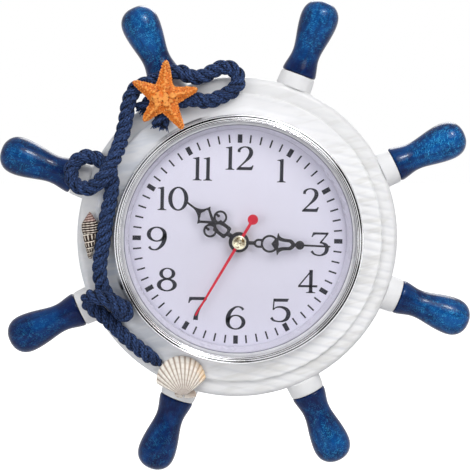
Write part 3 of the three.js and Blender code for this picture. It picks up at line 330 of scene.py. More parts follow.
def softened(node, name, width):
    """A copy of a CAD node with its edges rounded over a width, for a piece whose CAD shape is right."""
    piece = twin(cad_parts[node], name)
    piece.parent = None
    for key in list(piece.keys()):
        del piece[key]
    take(piece)
    if piece.data.has_custom_normals:
        bpy.ops.mesh.customdata_custom_splitnormals_clear()
    tidy_faces(piece)
    in_edit(piece, (bpy.ops.mesh.dissolve_limited, {"angle_limit": math.radians(1)}))
    modify(
        piece, "BEVEL", width=width / 1000, segments=2, limit_method="ANGLE", angle_limit=math.radians(30),
        harden_normals=False,
    )
    smooth_shade(piece, 40)
    return piece


def dress(piece, finish, *nodes, body="clock", slot=None):
    """Gives a piece its finish and the body that it rides on, and hides the nodes it stands for. The slot is
    not used.
    """
    piece.data.materials.clear()
    piece.data.materials.append(finish_for(finish))
    slot = slot or finish
    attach(piece, body)
    if nodes:
        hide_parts(*nodes)


def note(piece, name, values, kind="FLOAT"):
    """Stores a number or a vector for each vertex."""
    attribute = piece.data.attributes.new(name, kind, "POINT")
    key = "value" if kind == "FLOAT" else "vector"
    attribute.data.foreach_set(key, np.asarray(values, np.float32).ravel())


def places_of(piece):
    """The vertices' places in millimetres."""
    flat = np.zeros(len(piece.data.vertices) * 3, np.float32)
    piece.data.vertices.foreach_get("co", flat)
    return flat.reshape(-1, 3).astype(float) * 1000


def set_places(piece, places):
    piece.data.vertices.foreach_set("co", (np.asarray(places, np.float32) / 1000).ravel())
    piece.data.update()


def normals_of(piece):
    flat = np.zeros(len(piece.data.vertices) * 3, np.float32)
    piece.data.vertices.foreach_get("normal", flat)
    return flat.reshape(-1, 3).astype(float)


def fade(low, high, values):
    """A soft step from 0 to 1 between two values."""
    share = np.clip((values - low) / (high - low), 0, 1)
    return share * share * (3 - 2 * share)


def between(turned, start, end, soft):
    """1 between two clock angles, and softly 0 outside them."""
    return fade(0, soft, turned - start) * fade(0, soft, end - turned)


def round_clock(places):
    """Each place's radius about the Y axis, its clock angle in degrees and its depth."""
    turned = np.degrees(np.arctan2(places[:, 0], places[:, 2])) % 360
    return np.hypot(places[:, 0], places[:, 2]), turned, -places[:, 1]


def noise_at(places, scale, seed=0.0):
    """Smooth noise from about -1 to 1 at places in millimetres."""
    shift = Vector((seed * 17.3, seed * 5.1, seed * 9.7))
    return np.array([noise.noise(Vector(place) * scale + shift) for place in places])


def arc(x, z, radius, first, last, steps):
    """Points on an arc, from its first to its last angle in degrees."""
    angles = [math.radians(first + (last - first) * i / steps) for i in range(steps + 1)]
    return [(x + radius * math.cos(a), z + radius * math.sin(a)) for a in angles]


def curved(path, steps, closed=False):
    """Points on the smooth curve through a path."""
    nodes = [np.array(point, float) for point in path]
    if closed:
        nodes = [nodes[-1], *nodes, *nodes[:2]]
    else:
        nodes = [2 * nodes[0] - nodes[1], *nodes, 2 * nodes[-1] - nodes[-2]]
    made = []
    for i in range(1, len(nodes) - 2):
        a, b, c, d = nodes[i - 1:i + 3]
        for t in (step / steps for step in range(steps)):
            bent = (2 * a - 5 * b + 4 * c - d) * t * t
            made.append(0.5 * (2 * b + (c - a) * t + bent + (3 * b - a - 3 * c + d) * t ** 3))
    return made if closed else [*made, nodes[-2]]


def tube_faces(start, rows, sides):
    """Faces between the rings of a tube, whose points are numbered from a start."""
    faces = []
    for row in range(rows):
        for side in range(sides):
            a, b = start + row * sides + side, start + row * sides + (side + 1) % sides
            faces.append((a, b, b + sides, a + sides))
    return faces


# Shader nodes

class Nodes:
    """Short ways to put nodes in a tree. A value is a number, a colour, a place or another node's output."""

    def __init__(self, tree):
        self.tree = tree

    def node(self, kind, **settings):
        made = self.tree.nodes.new("ShaderNode" + kind)
        for key, value in settings.items():
            setattr(made, key, value)
        return made

    def give(self, value, socket):
        if isinstance(value, bpy.types.NodeSocket):
            self.tree.links.new(value, socket)
        elif hasattr(value, "__len__") and len(value) == 3 and len(socket.default_value) == 4:
            socket.default_value = (*value, 1.0)
        else:
            socket.default_value = value

    def fill(self, made, values):
        """Gives a node's inputs the values that their names go with."""
        for socket, value in values.items():
            self.give(value, made.inputs[socket])

    def math(self, operation, *values, kind="Math", output="Value"):
        made = self.node(kind, operation=operation)
        for socket, value in zip(made.inputs, values):
            self.give(value, socket)
        return made.outputs[output]

    def times(self, first, second):
        return self.math("MULTIPLY", first, second)

    def span(self, value, low, high, start=0.0, end=1.0):
        """Maps a value between two bounds softly to a start and an end."""
        made = self.node("MapRange", interpolation_type="SMOOTHSTEP")
        for socket, number in zip(made.inputs, (value, low, high, start, end)):
            self.give(number, socket)
        return made.outputs[0]

    def blend(self, factor, first, second):
        """Mixes two numbers."""
        made = self.node("Mix")
        self.fill(made, {"Factor": factor, "A": first, "B": second})
        return made.outputs["Result"]

    def noise(self, place, scale, **settings):
        made = self.node("TexNoise")
        self.fill(made, {"Vector": place, "Scale": scale, **settings})
        return made.outputs["Fac"]

    def part(self, vector, axis):
        made = self.node("SeparateXYZ")
        self.give(vector, made.inputs[0])
        return made.outputs[axis]


def patches_result(nodes, given):
    """Soft patches: a mask from 0 to 1 over the surface."""
    texture = nodes.noise(given["Place"], given["Scale"], Detail=5.0, Roughness=0.6)
    spread = nodes.math("SUBTRACT", 1.0, given["Contrast"])
    low, high = (nodes.math("MULTIPLY_ADD", spread, side, 0.5) for side in (-0.3, 0.3))
    return nodes.span(texture, low, high)


def grain_result(nodes, given):
    """Fine grain: the height of noise, with the pits of small cells mixed in."""
    texture = nodes.noise(given["Place"], given["Scale"], Detail=3.0)
    cells = nodes.node("TexVoronoi")
    nodes.fill(cells, {"Vector": given["Place"], "Scale": given["Scale"]})
    return nodes.blend(given["Pits"], texture, cells.outputs["Distance"])


def brushing_result(nodes, given):
    """Fine straight brushing: noise drawn out along one way of a stretched place."""
    place = nodes.math("MULTIPLY", given["Place"], given["Stretch"], kind="VectorMath", output="Vector")
    return nodes.noise(place, given["Scale"], Detail=2.0)


# Each shared group's inputs besides its place, with their defaults, its output and what makes that output
GROUPS = {
    "Patches": ({"Scale": 40.0, "Contrast": 0.5}, "Mask", patches_result),
    "Grain": ({"Scale": 800.0, "Pits": 0.4}, "Height", grain_result),
    "Brushing": ({"Scale": 300.0, "Stretch": (1.0, 1.0, 0.04)}, "Height", brushing_result),
}


@functools.cache
def shared_group(name):
    """A shader group that more than one finish uses, made once."""
    defaults, output, result = GROUPS[name]
    group = bpy.data.node_groups.new(name, "ShaderNodeTree")
    for socket, default in {"Place": (0.0, 0.0, 0.0), **defaults}.items():
        kind = "NodeSocketFloat" if isinstance(default, float) else "NodeSocketVector"
        group.interface.new_socket(name=socket, in_out="INPUT", socket_type=kind).default_value = default
    group.interface.new_socket(name=output, in_out="OUTPUT", socket_type="NodeSocketFloat")
    nodes = Nodes(group)
    made = result(nodes, group.nodes.new("NodeGroupInput").outputs)
    nodes.give(made, group.nodes.new("NodeGroupOutput").inputs[output])
    return group


class Finish(Nodes):
    """A material being made: a Principled shader, its colour so far, and the nodes in front of it."""

    def __init__(self, name, colour, roughness=0.5, metallic=0.0, **sockets):
        self.material = bpy.data.materials.new(name)
        self.material.use_nodes = True
        super().__init__(self.material.node_tree)
        self.shader = self.tree.nodes["Principled BSDF"]
        for socket, value in {"roughness": roughness, "metallic": metallic, **sockets}.items():
            self.shader.inputs[socket.replace("_", " ").title().replace("Ior", "IOR")].default_value = value
        self.place = self.node("TexCoord").outputs["Object"]
        self.colour = colour
        self.normal = None

    def attribute(self, name, output="Fac"):
        return self.node("Attribute", attribute_name=name).outputs[output]

    def group(self, name, place, **values):
        made = self.node("Group", node_tree=shared_group(name))
        self.fill(made, {"Place": place or self.place, **values})
        return made.outputs[0]

    def patches(self, scale, contrast=0.5, place=None):
        return self.group("Patches", place, Scale=scale, Contrast=contrast)

    def grain(self, scale, pits=0.4, place=None):
        return self.group("Grain", place, Scale=scale, Pits=pits)

    def brushed(self, scale, stretch, place=None):
        return self.group("Brushing", place, Scale=scale, Stretch=stretch)

    def turned(self, place, angles):
        made = self.node("Mapping")
        self.fill(made, {"Rotation": angles, "Vector": place})
        return made.outputs[0]

    def off_middle(self, phase):
        """How far a phase lies from the middle of its wave, from 0 to 0.5."""
        return self.math("ABSOLUTE", self.math("SUBTRACT", self.math("FRACT", phase), 0.5))

    def mix(self, factor, first, second):
        """Mixes two colours. The Mix node's colours are its inputs 6 and 7 and its output 2."""
        made = self.node("Mix", data_type="RGBA")
        self.fill(made, {"Factor": factor, 6: first, 7: second})
        return made.outputs[2]

    def lay(self, factor, shade):
        """Lays a shade over the colour so far."""
        self.colour = self.mix(factor, self.colour, shade)

    def rough(self, value, low, high, start, end):
        """Lets the roughness follow a value between two bounds, from a start to an end."""
        self.give(self.span(value, low, high, start, end), self.shader.inputs["Roughness"])

    def bump(self, height, distance, strength=1.0):
        """Adds a bump; the distance is in millimetres."""
        made = self.node("Bump")
        self.fill(made, {"Strength": strength, "Distance": distance / 1000, "Height": height})
        if self.normal is not None:
            self.give(self.normal, made.inputs["Normal"])
        self.normal = made.outputs["Normal"]

    def done(self):
        self.give(self.colour, self.shader.inputs["Base Color"])
        if self.normal is not None:
            self.give(self.normal, self.shader.inputs["Normal"])
        return self.material


def shade_of(red, green, blue):
    """A colour from display levels of 0 to 255."""
    return (linear(red), linear(green), linear(blue))


def toned(shade, share, lift=0.0):
    """A colour made darker or brighter."""
    return [min(1.0, level * share + lift) for level in shade]


# Finishes

def white_paint(name, settings, ribbed, tone):
    """Brushed white paint. On the rim it has painted shade in the grooves, a blue wash mixed with painted
    shade on the left, painted shade at the foot of the step and a painted shadow along the joint with the
    bezel.
    """
    finish = Finish(name, toned(settings.paint, tone), specular_ior_level=0.25)
    finish.lay(finish.times(finish.patches(28.0, 0.35), 0.35), toned(finish.colour, 0.86))
    brushed = finish.brushed(220.0, (0.25, 1.0, 1.0))
    finish.lay(finish.span(brushed, 0.35, 0.75, 0.0, 0.16), settings.shade)
    if ribbed:
        # Painted shade in the grooves between the ribs, as strong as the ribs
        strength = finish.attribute("rib_strength")
        groove = finish.times(finish.span(finish.off_middle(finish.attribute("rib")), 0.22, 0.5), strength)
        finish.lay(finish.times(groove, 0.42), settings.shade)
        along_ribs = finish.turned(finish.place, (0.0, settings.rib_slope, 0.0))
        smears = finish.brushed(330.0, (0.16, 1.0, 1.0), along_ribs)
        smeared = finish.times(
            finish.span(smears, 0.46, 0.7, 0.0, 0.42), finish.span(strength, 0.0, 0.6, 0.35, 1.0)
        )
        finish.lay(smeared, shade_of(204, 202, 196))
        # Greyer where the ribs and their painted groove shade are weak
        finish.lay(finish.span(strength, 0.15, 0.85, 0.33, 0.0), shade_of(206, 206, 209))
        # Blue-grey on the left: partly paint strokes, partly painted shade
        wash_and_shade = finish.times(finish.attribute("blue_wash_and_shade"), finish.span(smears, 0.36, 0.6, 0.35, 1.0))
        finish.lay(wash_and_shade, shade_of(176, 194, 220))
        # Painted shade at the foot of the step
        finish.lay(finish.times(finish.attribute("step"), 0.5), shade_of(204, 204, 203))
        # Painted shadow along the joint with the bezel, in patches
        filled = finish.span(finish.patches(55.0, 0.6), 0.2, 0.7, 0.5, 1.0)
        finish.lay(finish.times(finish.attribute("joint"), filled), shade_of(34, 34, 40))
    finish.rough(finish.patches(120.0, 0.3), 0.0, 1.0, 0.42, 0.6)
    finish.bump(finish.grain(900.0, 0.3), 0.05, 0.6)
    finish.bump(brushed, 0.08, 0.5)
    return finish.done()


def blue_varnish(name, settings):
    """Blue varnish over wood: a darker ground, brighter clouds and crossing flecks where it was sprayed,
    brighter still where the surface faces front or back as a painted highlight.
    """
    finish = Finish(
        name, settings.varnish_dark, roughness=0.3, ior=1.14, coat_weight=0.26, coat_roughness=0.06,
        coat_ior=1.35,
    )
    grain, spray_and_facing_light = finish.attribute("grain", "Vector"), finish.attribute("spray_and_facing_light")
    fibres = finish.brushed(420.0, (1.0, 1.0, 0.09), grain)
    strokes = finish.brushed(1900.0, (1.0, 0.22, 1.0), finish.turned(grain, (0.5, 0.4, 0.3)))
    crossing = finish.brushed(2100.0, (1.0, 1.0, 0.26), finish.turned(grain, (-0.4, 0.7, 0.0)))
    cloud = finish.patches(70.0, 0.5, grain)
    tone = finish.span(finish.math("MULTIPLY_ADD", cloud, 0.42, finish.times(spray_and_facing_light, 0.8)), 0.12, 1.12)
    finish.lay(tone, settings.varnish_bright)
    finish.lay(finish.span(fibres, 0.42, 0.7, 0.0, 0.5), toned(settings.varnish_dark, 0.4))
    bright = finish.math("MAXIMUM", finish.span(strokes, 0.53, 0.62), finish.span(crossing, 0.54, 0.64))
    flecks = finish.times(finish.times(bright, spray_and_facing_light), finish.patches(330.0, 0.6, grain))
    finish.lay(finish.times(flecks, 0.95), shade_of(56, 158, 214))
    finish.rough(fibres, 0.3, 0.8, 0.22, 0.42)
    finish.bump(fibres, 0.06, 0.6)
    finish.bump(flecks, 0.02, 0.4)
    finish.bump(finish.grain(260.0, 0.0, grain), 0.12, 0.35)
    return finish.done()


def chrome(name):
    """Chrome plating, with painted dark reflections in the grooves."""
    finish = Finish(name, (0.80, 0.80, 0.83), roughness=0.1, metallic=1.0)
    finish.lay(finish.patches(60.0, 0.3), (0.88, 0.88, 0.89))
    # Painted dark reflections in the grooves
    finish.lay(finish.attribute("painted_crevice_shade"), (0.028, 0.024, 0.02))
    finish.rough(finish.patches(160.0, 0.5), 0.0, 1.0, 0.1, 0.18)
    finish.bump(finish.grain(240.0, 0.0), 0.02, 0.35)
    return finish.done()


def clear_lens(name, settings):
    """A clear sheet that hides almost nothing, and more where it is seen at a slant."""
    finish = Finish(name, (0.12, 0.12, 0.13), roughness=0.03)
    smear = finish.patches(26.0, 0.4)
    finish.lay(smear, (0.2, 0.2, 0.22))
    edge = finish.node("Fresnel")
    edge.inputs["IOR"].default_value = 1.45
    opacity = finish.math("MULTIPLY_ADD", edge.outputs[0], 0.35, settings.lens_opacity)
    finish.give(finish.math("ADD", opacity, finish.times(smear, 0.01)), finish.shader.inputs["Alpha"])
    finish.rough(smear, 0.0, 1.0, 0.02, 0.06)
    return finish.done()


def moulded(name, shade, roughness, grain, depth):
    """Moulded plastic: a slight change of shade, fine grain and soft streaks of flow."""
    finish = Finish(name, shade, roughness)
    finish.lay(finish.times(finish.patches(60.0, 0.3), 0.5), toned(shade, 0.8))
    streak = finish.patches(320.0, 0.5)
    finish.lay(finish.times(streak, 0.12), toned(shade, 1.35, 0.01))
    finish.rough(streak, 0.0, 1.0, roughness * 0.85, min(1.0, roughness * 1.2))
    finish.bump(finish.grain(grain, 0.5), depth, 0.7)
    return finish.done()


def reflector(name, settings):
    """Smooth pale plastic of the ring round the dial, with a flange brightened near white as painted light
    against the bezel's shadow, and a line of painted shade before it.
    """
    finish = Finish(name, settings.ring, roughness=0.32)
    swirl = finish.patches(90.0, 0.3)
    finish.lay(finish.times(swirl, 0.25), toned(settings.ring, 0.8))
    # Near white on the flange: painted light where the bezel's lip shades it
    flange_brightened = finish.mix(swirl, shade_of(226, 226, 232), shade_of(246, 246, 250))
    finish.lay(finish.attribute("flange"), flange_brightened)
    # Painted shade in the ring's creases
    finish.lay(finish.attribute("painted_crevice_shade"), shade_of(52, 50, 84))
    finish.rough(swirl, 0.0, 1.0, 0.26, 0.38)
    finish.bump(finish.grain(600.0, 0.3), 0.01, 0.5)
    return finish.done()


def dial_card(name, settings):
    """Pale card with faint fibres."""
    finish = Finish(name, settings.card, roughness=0.62)
    finish.lay(finish.times(finish.patches(22.0, 0.2), 0.35), toned(settings.card, 0.93))
    fibre = finish.brushed(900.0, (1.0, 1.0, 0.4))
    finish.lay(finish.span(fibre, 0.4, 0.8, 0.0, 0.06), (0.5, 0.5, 0.58))
    finish.bump(fibre, 0.01, 0.5)
    return finish.done()


def printed_ink(name, settings):
    finish = Finish(name, settings.ink)
    finish.lay(finish.times(finish.patches(500.0, 0.4), 0.5), toned(settings.ink, 2.0))
    finish.bump(finish.grain(1500.0, 0.2), 0.005, 0.5)
    return finish.done()


def enamel(name, shade, roughness):
    """Thin paint on pressed metal."""
    finish = Finish(name, shade, roughness)
    wear_and_dark_reflection = finish.patches(240.0, 0.5)
    finish.lay(finish.times(wear_and_dark_reflection, 0.35), toned(shade, 1.5, 0.006))
    finish.rough(wear_and_dark_reflection, 0.0, 1.0, roughness, roughness + 0.15)
    finish.bump(finish.grain(1100.0, 0.3), 0.01, 0.6)
    return finish.done()


def metal(name, shade, roughness, brushing, scale):
    """Bare metal with fine brushing and slight tarnish."""
    finish = Finish(name, shade, roughness, metallic=1.0)
    finish.lay(finish.times(finish.patches(140.0, 0.4), 0.6), toned(shade, 0.72))
    lines = finish.brushed(scale, brushing)
    finish.rough(lines, 0.3, 0.75, roughness * 0.7, roughness * 1.4)
    finish.bump(lines, 0.02, 0.6)
    return finish.done()


def cap_brass(name, settings):
    """Brass of the cap: pale near the rim as a painted highlight, and brown streaks on the dome."""
    finish = Finish(name, shade_of(246, 240, 214), roughness=0.2, metallic=1.0)
    girth, streaks = finish.attribute("girth"), finish.patches(420.0, 0.65)
    # The rim keeps the pale base colour as a painted highlight; the dome gets brown streaks
    finish.lay(finish.times(streaks, finish.span(girth, 0.72, 0.84, 1.0, 0.0)), shade_of(104, 78, 38))
    lines = finish.math("SINE", finish.times(girth, 90.0))
    finish.lay(finish.span(lines, 0.4, 1.0, 0.0, 0.14), settings.brass)
    finish.rough(streaks, 0.0, 1.0, 0.16, 0.34)
    finish.bump(lines, 0.01, 0.5)
    finish.bump(streaks, 0.04, 0.6)
    return finish.done()


def cotton(name, settings):
    """Twisted cotton: yarns from the strand's own along and around, with painted shade between the yarns and
    strands and painted light on their crowns and in bright patches.
    """
    finish = Finish(
        name, settings.dark, roughness=0.88, specular_ior_level=0.12, sheen_weight=0.04, sheen_roughness=0.5,
    )
    across = finish.off_middle(finish.attribute("yarn"))
    lobe = finish.math("SUBTRACT", 1.0, finish.math("POWER", finish.times(across, 2.0), 2.2))
    fibres = finish.brushed(1.0, (1.0, 1.0, 1.0), finish.attribute("fibre", "Vector"))
    # Painted light on the crowns of the yarns where the strand faces out, and painted shade between them
    crown = finish.span(finish.attribute("crown"), 0.56, 0.97)
    finish.lay(finish.times(finish.span(lobe, 0.05, 0.95), crown), settings.bright)
    finish.lay(finish.span(fibres, 0.5, 0.75, 0.0, 0.5), toned(settings.dark, 0.5))
    # Painted highlights: brighter patches on the yarns
    finish.lay(finish.span(finish.patches(900.0, 0.7), 0.3, 1.0, 0.0, 0.42), toned(settings.bright, 2.6))
    finish.lay(finish.times(finish.patches(70.0, 0.3), 0.3), toned(settings.dark, 0.6))
    finish.bump(lobe, 0.4, 1.0)
    finish.bump(fibres, 0.16, 0.9)
    return finish.done()


def starfish_skin(name, settings):
    """Dry orange skin, paler on the knobs as a painted highlight, with painted shade in the pits and holes.
    """
    finish = Finish(name, settings.star, roughness=0.6, specular_ior_level=0.25)
    finish.lay(finish.times(finish.patches(190.0, 0.5), 0.3), settings.star_dark)
    finish.lay(finish.span(finish.attribute("knob"), 0.1, 0.9, 0.0, 0.65), shade_of(250, 174, 90))
    pits = finish.grain(900.0, 1.0)
    # Painted shade in the pits of the grain
    finish.lay(finish.span(pits, 0.02, 0.34, 0.55, 0.0), settings.star_dark)
    # Painted shade in the holes
    finish.lay(finish.span(finish.attribute("hole"), 0.3, 1.0, 0.0, 0.75), shade_of(112, 54, 18))
    finish.bump(pits, 0.14, 0.8)
    finish.bump(finish.grain(2200.0, 0.2), 0.05, 0.6)
    return finish.done()


def scallop_finish(name, settings):
    """Pale ribs and grooves darkened brown, partly the shell's colour and partly painted shade, with bands of
    growth, a warm side and a rosy foot.
    """
    finish = Finish(name, settings.scallop, roughness=0.42, specular_ior_level=0.3)
    groove, growth = finish.attribute("groove"), finish.attribute("growth")
    # Grooves darkened: partly brown, partly painted shade
    finish.lay(finish.span(groove, 0.2, 0.9, 0.0, 0.8), settings.scallop_dark)
    bands = finish.math("SINE", finish.times(growth, 46.0))
    finish.lay(finish.span(bands, 0.2, 1.0, 0.0, 0.16), settings.scallop_dark)
    warm = finish.times(finish.attribute("tint"), finish.patches(180.0, 0.3))
    finish.lay(finish.times(warm, 0.8), shade_of(242, 200, 142))
    foot = finish.times(finish.span(growth, 0.1, 0.5, 0.5, 0.0), finish.span(groove, 0.3, 0.9, 0.1, 1.0))
    finish.lay(foot, shade_of(182, 144, 132))
    finish.bump(finish.times(bands, finish.grain(500.0, 0.2)), 0.05, 0.6)
    return finish.done()


def spiral_finish(name, settings):
    """Pale beads on dark cords, with a rosy cone."""
    finish = Finish(name, settings.spiral_dark, specular_ior_level=0.08)
    bead = finish.attribute("bead")
    finish.lay(finish.span(bead, 0.3, 0.75), settings.spiral)
    cone = finish.mix(finish.span(bead, 0.2, 0.7), shade_of(120, 92, 88), shade_of(204, 178, 170))
    finish.lay(finish.attribute("blush"), cone)
    finish.lay(finish.times(finish.patches(500.0, 0.4), 0.18), shade_of(150, 118, 98))
    finish.bump(finish.grain(1400.0, 0.3), 0.06, 0.7)
    return finish.done()


def wound_wire(name, shade):
    finish = Finish(name, toned(shade, 0.45), roughness=0.35, metallic=0.85)
    wave = finish.node("TexWave", wave_type="BANDS", bands_direction="X")
    finish.fill(wave, {"Vector": finish.place, "Scale": 1500.0})
    finish.lay(wave.outputs["Fac"], shade)
    finish.bump(wave.outputs["Fac"], 0.08, 0.8)
    return finish.done()


def cell_label(name):
    """Plain wrap of the cell: dark, with a copper-coloured end and a thin pale line."""
    finish = Finish(name, (0.03, 0.034, 0.042), roughness=0.32, metallic=0.35)
    along = finish.part(finish.place, "X")
    finish.lay(finish.span(along, 0.0140, 0.0141), shade_of(196, 120, 70))
    line = finish.times(finish.span(along, 0.0128, 0.0129), finish.span(along, 0.0134, 0.0135, 1.0, 0.0))
    finish.lay(line, (0.7, 0.7, 0.72))
    finish.lay(finish.times(finish.patches(300.0, 0.5), 0.2), (0.2, 0.2, 0.22))
    finish.bump(finish.grain(600.0, 0.2), 0.01, 0.5)
    return finish.done()


@functools.cache
def finish_for(name):
    """A material by its name, made once with the scene's settings."""
    scene = bpy.context.scene
    wheel, dial, hands = scene.clock_wheel, scene.clock_dial, scene.clock_hands
    trimmings = scene.clock_trimmings
    maker, *values = {
        "ribbed_paint": (white_paint, wheel, True, 1.0),
        "collar_paint": (white_paint, wheel, False, 0.9),
        "blue_varnish": (blue_varnish, wheel),
        "bezel_chrome": (chrome,),
        "lens_glass": (clear_lens, dial),
        "reflector_plastic": (reflector, dial),
        "dial_card": (dial_card, dial),
        "ink": (printed_ink, dial),
        "cup_plastic": (moulded, shade_of(156, 153, 166), 0.5, 700.0, 0.03),
        "band_rubber": (moulded, shade_of(28, 28, 30), 0.85, 500.0, 0.06),
        "case_plastic": (moulded, shade_of(36, 36, 40), 0.48, 620.0, 0.05),
        "gear_plastic": (moulded, shade_of(230, 228, 220), 0.45, 900.0, 0.02),
        "rotor_plastic": (moulded, shade_of(40, 40, 44), 0.4, 900.0, 0.02),
        "board_laminate": (moulded, shade_of(46, 106, 60), 0.5, 1200.0, 0.03),
        "brass": (metal, hands.brass, 0.22, (1.0, 0.2, 1.0), 400.0),
        "zinc_steel": (metal, shade_of(196, 198, 202), 0.34, (1.0, 1.0, 0.05), 500.0),
        "cap_brass": (cap_brass, hands),
        "coil_copper": (wound_wire, shade_of(176, 104, 56)),
        "cell_wrap": (cell_label,),
        "black_paint": (enamel, hands.black, 0.36),
        "red_paint": (enamel, hands.red, 0.34),
        "rope_cotton": (cotton, scene.clock_rope),
        "starfish_skin": (starfish_skin, trimmings),
        "scallop_finish": (scallop_finish, trimmings),
        "spiral_finish": (spiral_finish, trimmings),
    }[name]
    return maker(name, *values)


# Pieces of the wheel

def flat(start, end, count):
    return [tuple(a + (b - a) * i / count for a, b in zip(start, end)) for i in range(count)]


def bend(*settings):
    return arc(*settings)[:-1]


# The rim's section as (radius, depth), close together where the ribs show
RIM_PROFILE = [
    *flat((66.8, 0), (66.8, 22.0), 2),
    *bend(67.3, 22.0, 0.5, 180, 90, 2),
    *flat((67.3, 22.5), (79.7, 22.5), 17),
    *bend(79.7, 21.3, 1.2, 90, 0, 4),
    *flat((80.9, 21.3), (80.9, 20.2), 2),
    *flat((81.1, 20.0), (86.5, 20.0), 8),
    *bend(86.5, 16.5, 3.5, 90, 0, 7),
    *flat((90.0, 16.5), (90.0, 1.5), 6),
    *bend(88.5, 1.5, 1.5, 0, -90, 3),
    *flat((88.5, 0), (66.8, 0), 3),
]
# How strong the ribs are at clock angles
RIB_STRENGTHS = ((0, 0.3), (40, 0.4), (66, 1.0), (160, 1.0), (195, 0.65), (240, 0.4), (330, 0.3), (360, 0.3))
# Clock angles between which a painted shadow lies along the joint of the rim and the bezel, and how wide it
# is there
JOINT_SHADOW_STRETCHES = ((102, 124, 0.75), (232, 254, 1.7), (318, 348, 0.75))
JOINT_RADIUS = 70.0
# Width, height, depth, X and Z of the recesses for the hanger plate and a screw's head
RECESSES = ((40.6, 14.6, 1.5, 0, 78.4), (10.8, 12.6, 8.0, 0, 77.3))
# How far a cutter stands out of the back
OVERCUT = 3
# Places of the plate's screw holes
SCREW_PLACES = ((-14.5, -5.3, 78.4), (14.5, -5.3, 78.4))


def rib_the_rim(rim, settings):
    """Raises the slanting ribs on the two bands, and notes where they run and where the paint is worn."""
    places = places_of(rim)
    radius, turned, depth = round_clock(places)
    slope = settings.rib_slope
    wobble = 0.22 * noise_at(places, 0.035, 1.0) + 0.05 * noise_at(places, 0.2, 2.0)
    along = places[:, 2] * math.cos(slope) + places[:, 0] * math.sin(slope)
    phase = along / (settings.rib_spacing * 1000) + wobble
    strength = fade(67.4, 68.6, radius) * fade(6.0, 15.0, depth)
    strength *= np.interp(turned, *zip(*RIB_STRENGTHS))
    strength *= (0.75 + 0.35 * noise_at(places, 0.06, 3.0)) * (1 - 0.85 * fade(86.5, 89.8, radius))
    crown = (0.5 - 0.5 * np.cos(FULL_TURN * phase)) ** 0.75 - 0.55
    uneven = 0.05 * noise_at(places, 0.12, 4.0)
    lift = crown * strength * settings.rib_height * 1000 + uneven * fade(4, 10, depth)
    set_places(rim, places + normals_of(rim) * lift[:, None])
    note(rim, "rib", phase)
    note(rim, "rib_strength", np.clip(strength, 0, 1))
    # Painted shade on the outer band at the foot of the step
    step_foot_shade = fade(81.0, 81.5, radius) * (0.45 + 0.55 * fade(0, 2.6, 84.1 - radius))
    note(rim, "step", step_foot_shade * (0.7 + 0.5 * noise_at(places, 0.08, 4.0)))
    # Painted shadow along the joint with the bezel, over the listed stretches
    painted_joint_shadow = sum(
        between(turned, start, end, 6) * np.clip((wide - np.abs(radius - JOINT_RADIUS)) / 0.5, 0, 1)
        for start, end, wide in JOINT_SHADOW_STRETCHES
    )
    note(rim, "joint", painted_joint_shadow * (depth > 20))
    # Blue paint strokes mixed with painted shade, stronger towards the left and on the front
    blue_wash_and_shade = fade(0.0, 90.0, -places[:, 0]) * fade(8.0, 17.0, depth) * (1 - 0.6 * fade(80.0, 83.0, radius))
    note(rim, "blue_wash_and_shade", blue_wash_and_shade * (0.42 + 0.28 * noise_at(places, 0.05, 5.0)))


class CLOCK_OT_rim(bpy.types.Operator):
    """Turns the wheel's rim, raises its ribs and cuts the hanger's recess"""

    bl_idname = "clock.rim"
    bl_label = "Wheel rim"

    def execute(self, context):
        rim = turn("rim_painted", RIM_PROFILE, 1000, smooth=50)
        rib_the_rim(rim, context.scene.clock_wheel)
        for width, height, depth, x, z in RECESSES:
            clear_selection()
            bpy.ops.mesh.primitive_cube_add(size=1)
            block = context.object
            block.data.transform(Matrix.Diagonal((width / 1000, (depth + OVERCUT) / 1000, height / 1000, 1)))
            shift_piece(block, (x, (OVERCUT - depth) / 2, z))
            cut_away(rim, block)
        for place in SCREW_PLACES:
            clear_selection()
            bpy.ops.mesh.primitive_cylinder_add(vertices=24, radius=0.0018, depth=0.018)
            drill = context.object
            turn_piece(drill, math.pi / 2, "X")
            shift_piece(drill, place)
            cut_away(rim, drill)
        smooth_shade(rim, 50)
        dress(rim, "ribbed_paint", "wheel_rim", slot="white_paint")
        return {"FINISHED"}


# Tenon and grip of a handle, as (radius, distance from the clock's middle)
HANDLE_PROFILE = [
    (0, 78.4), (3.2, 78.2), (4.0, 78.7), (4.0, 97.6), (9.1, 97.8), (9.45, 97.95), (9.7, 98.5), (9.75, 99.2),
    (9.55, 100.6), (8.95, 103.3), (8.15, 106.4), (7.85, 109.0), (7.95, 112.0), (8.55, 115.5), (9.3, 119.0),
    (9.95, 122.3), (10.5, 126.0), (10.8, 129.4), (10.7, 132.2), (10.1, 135.0), (8.9, 137.2), (7.1, 139.0),
    (5.0, 140.2), (2.9, 140.8), (0, 141.0),
]
COLLAR_PROFILE = [(4.3, 89.3), (10.1, 89.3), (10.1, 91.1), (9.9, 95.6), (9.6, 97.5), (4.3, 97.5)]
# How much bright spray each handle has, clockwise from the one right of the top
HANDLE_SPRAY = (0.65, 1.05, 0.8, 0.65, 0.25, 0.3, 0.5, 0.9)
# Radius at which the spray begins, and over how much it grows
SPRAY_START, SPRAY_REACH = 101, 20
# Degrees from one handle's seam to the next one's, and how far apart their grains lie
SEAM_TURN = 137.5
GRAIN_STEP = np.array([0.31, 0.17, 0.23])


def handle_body():
    """One handle on the spoke pointing up: a tenon and a turned grip."""
    handle = turn("handle_varnished", HANDLE_PROFILE, 32, closed=False, smooth=None, upright=True)
    modify(handle, "SUBSURF", levels=1, render_levels=1)
    smooth_shade(handle, 50)
    return handle


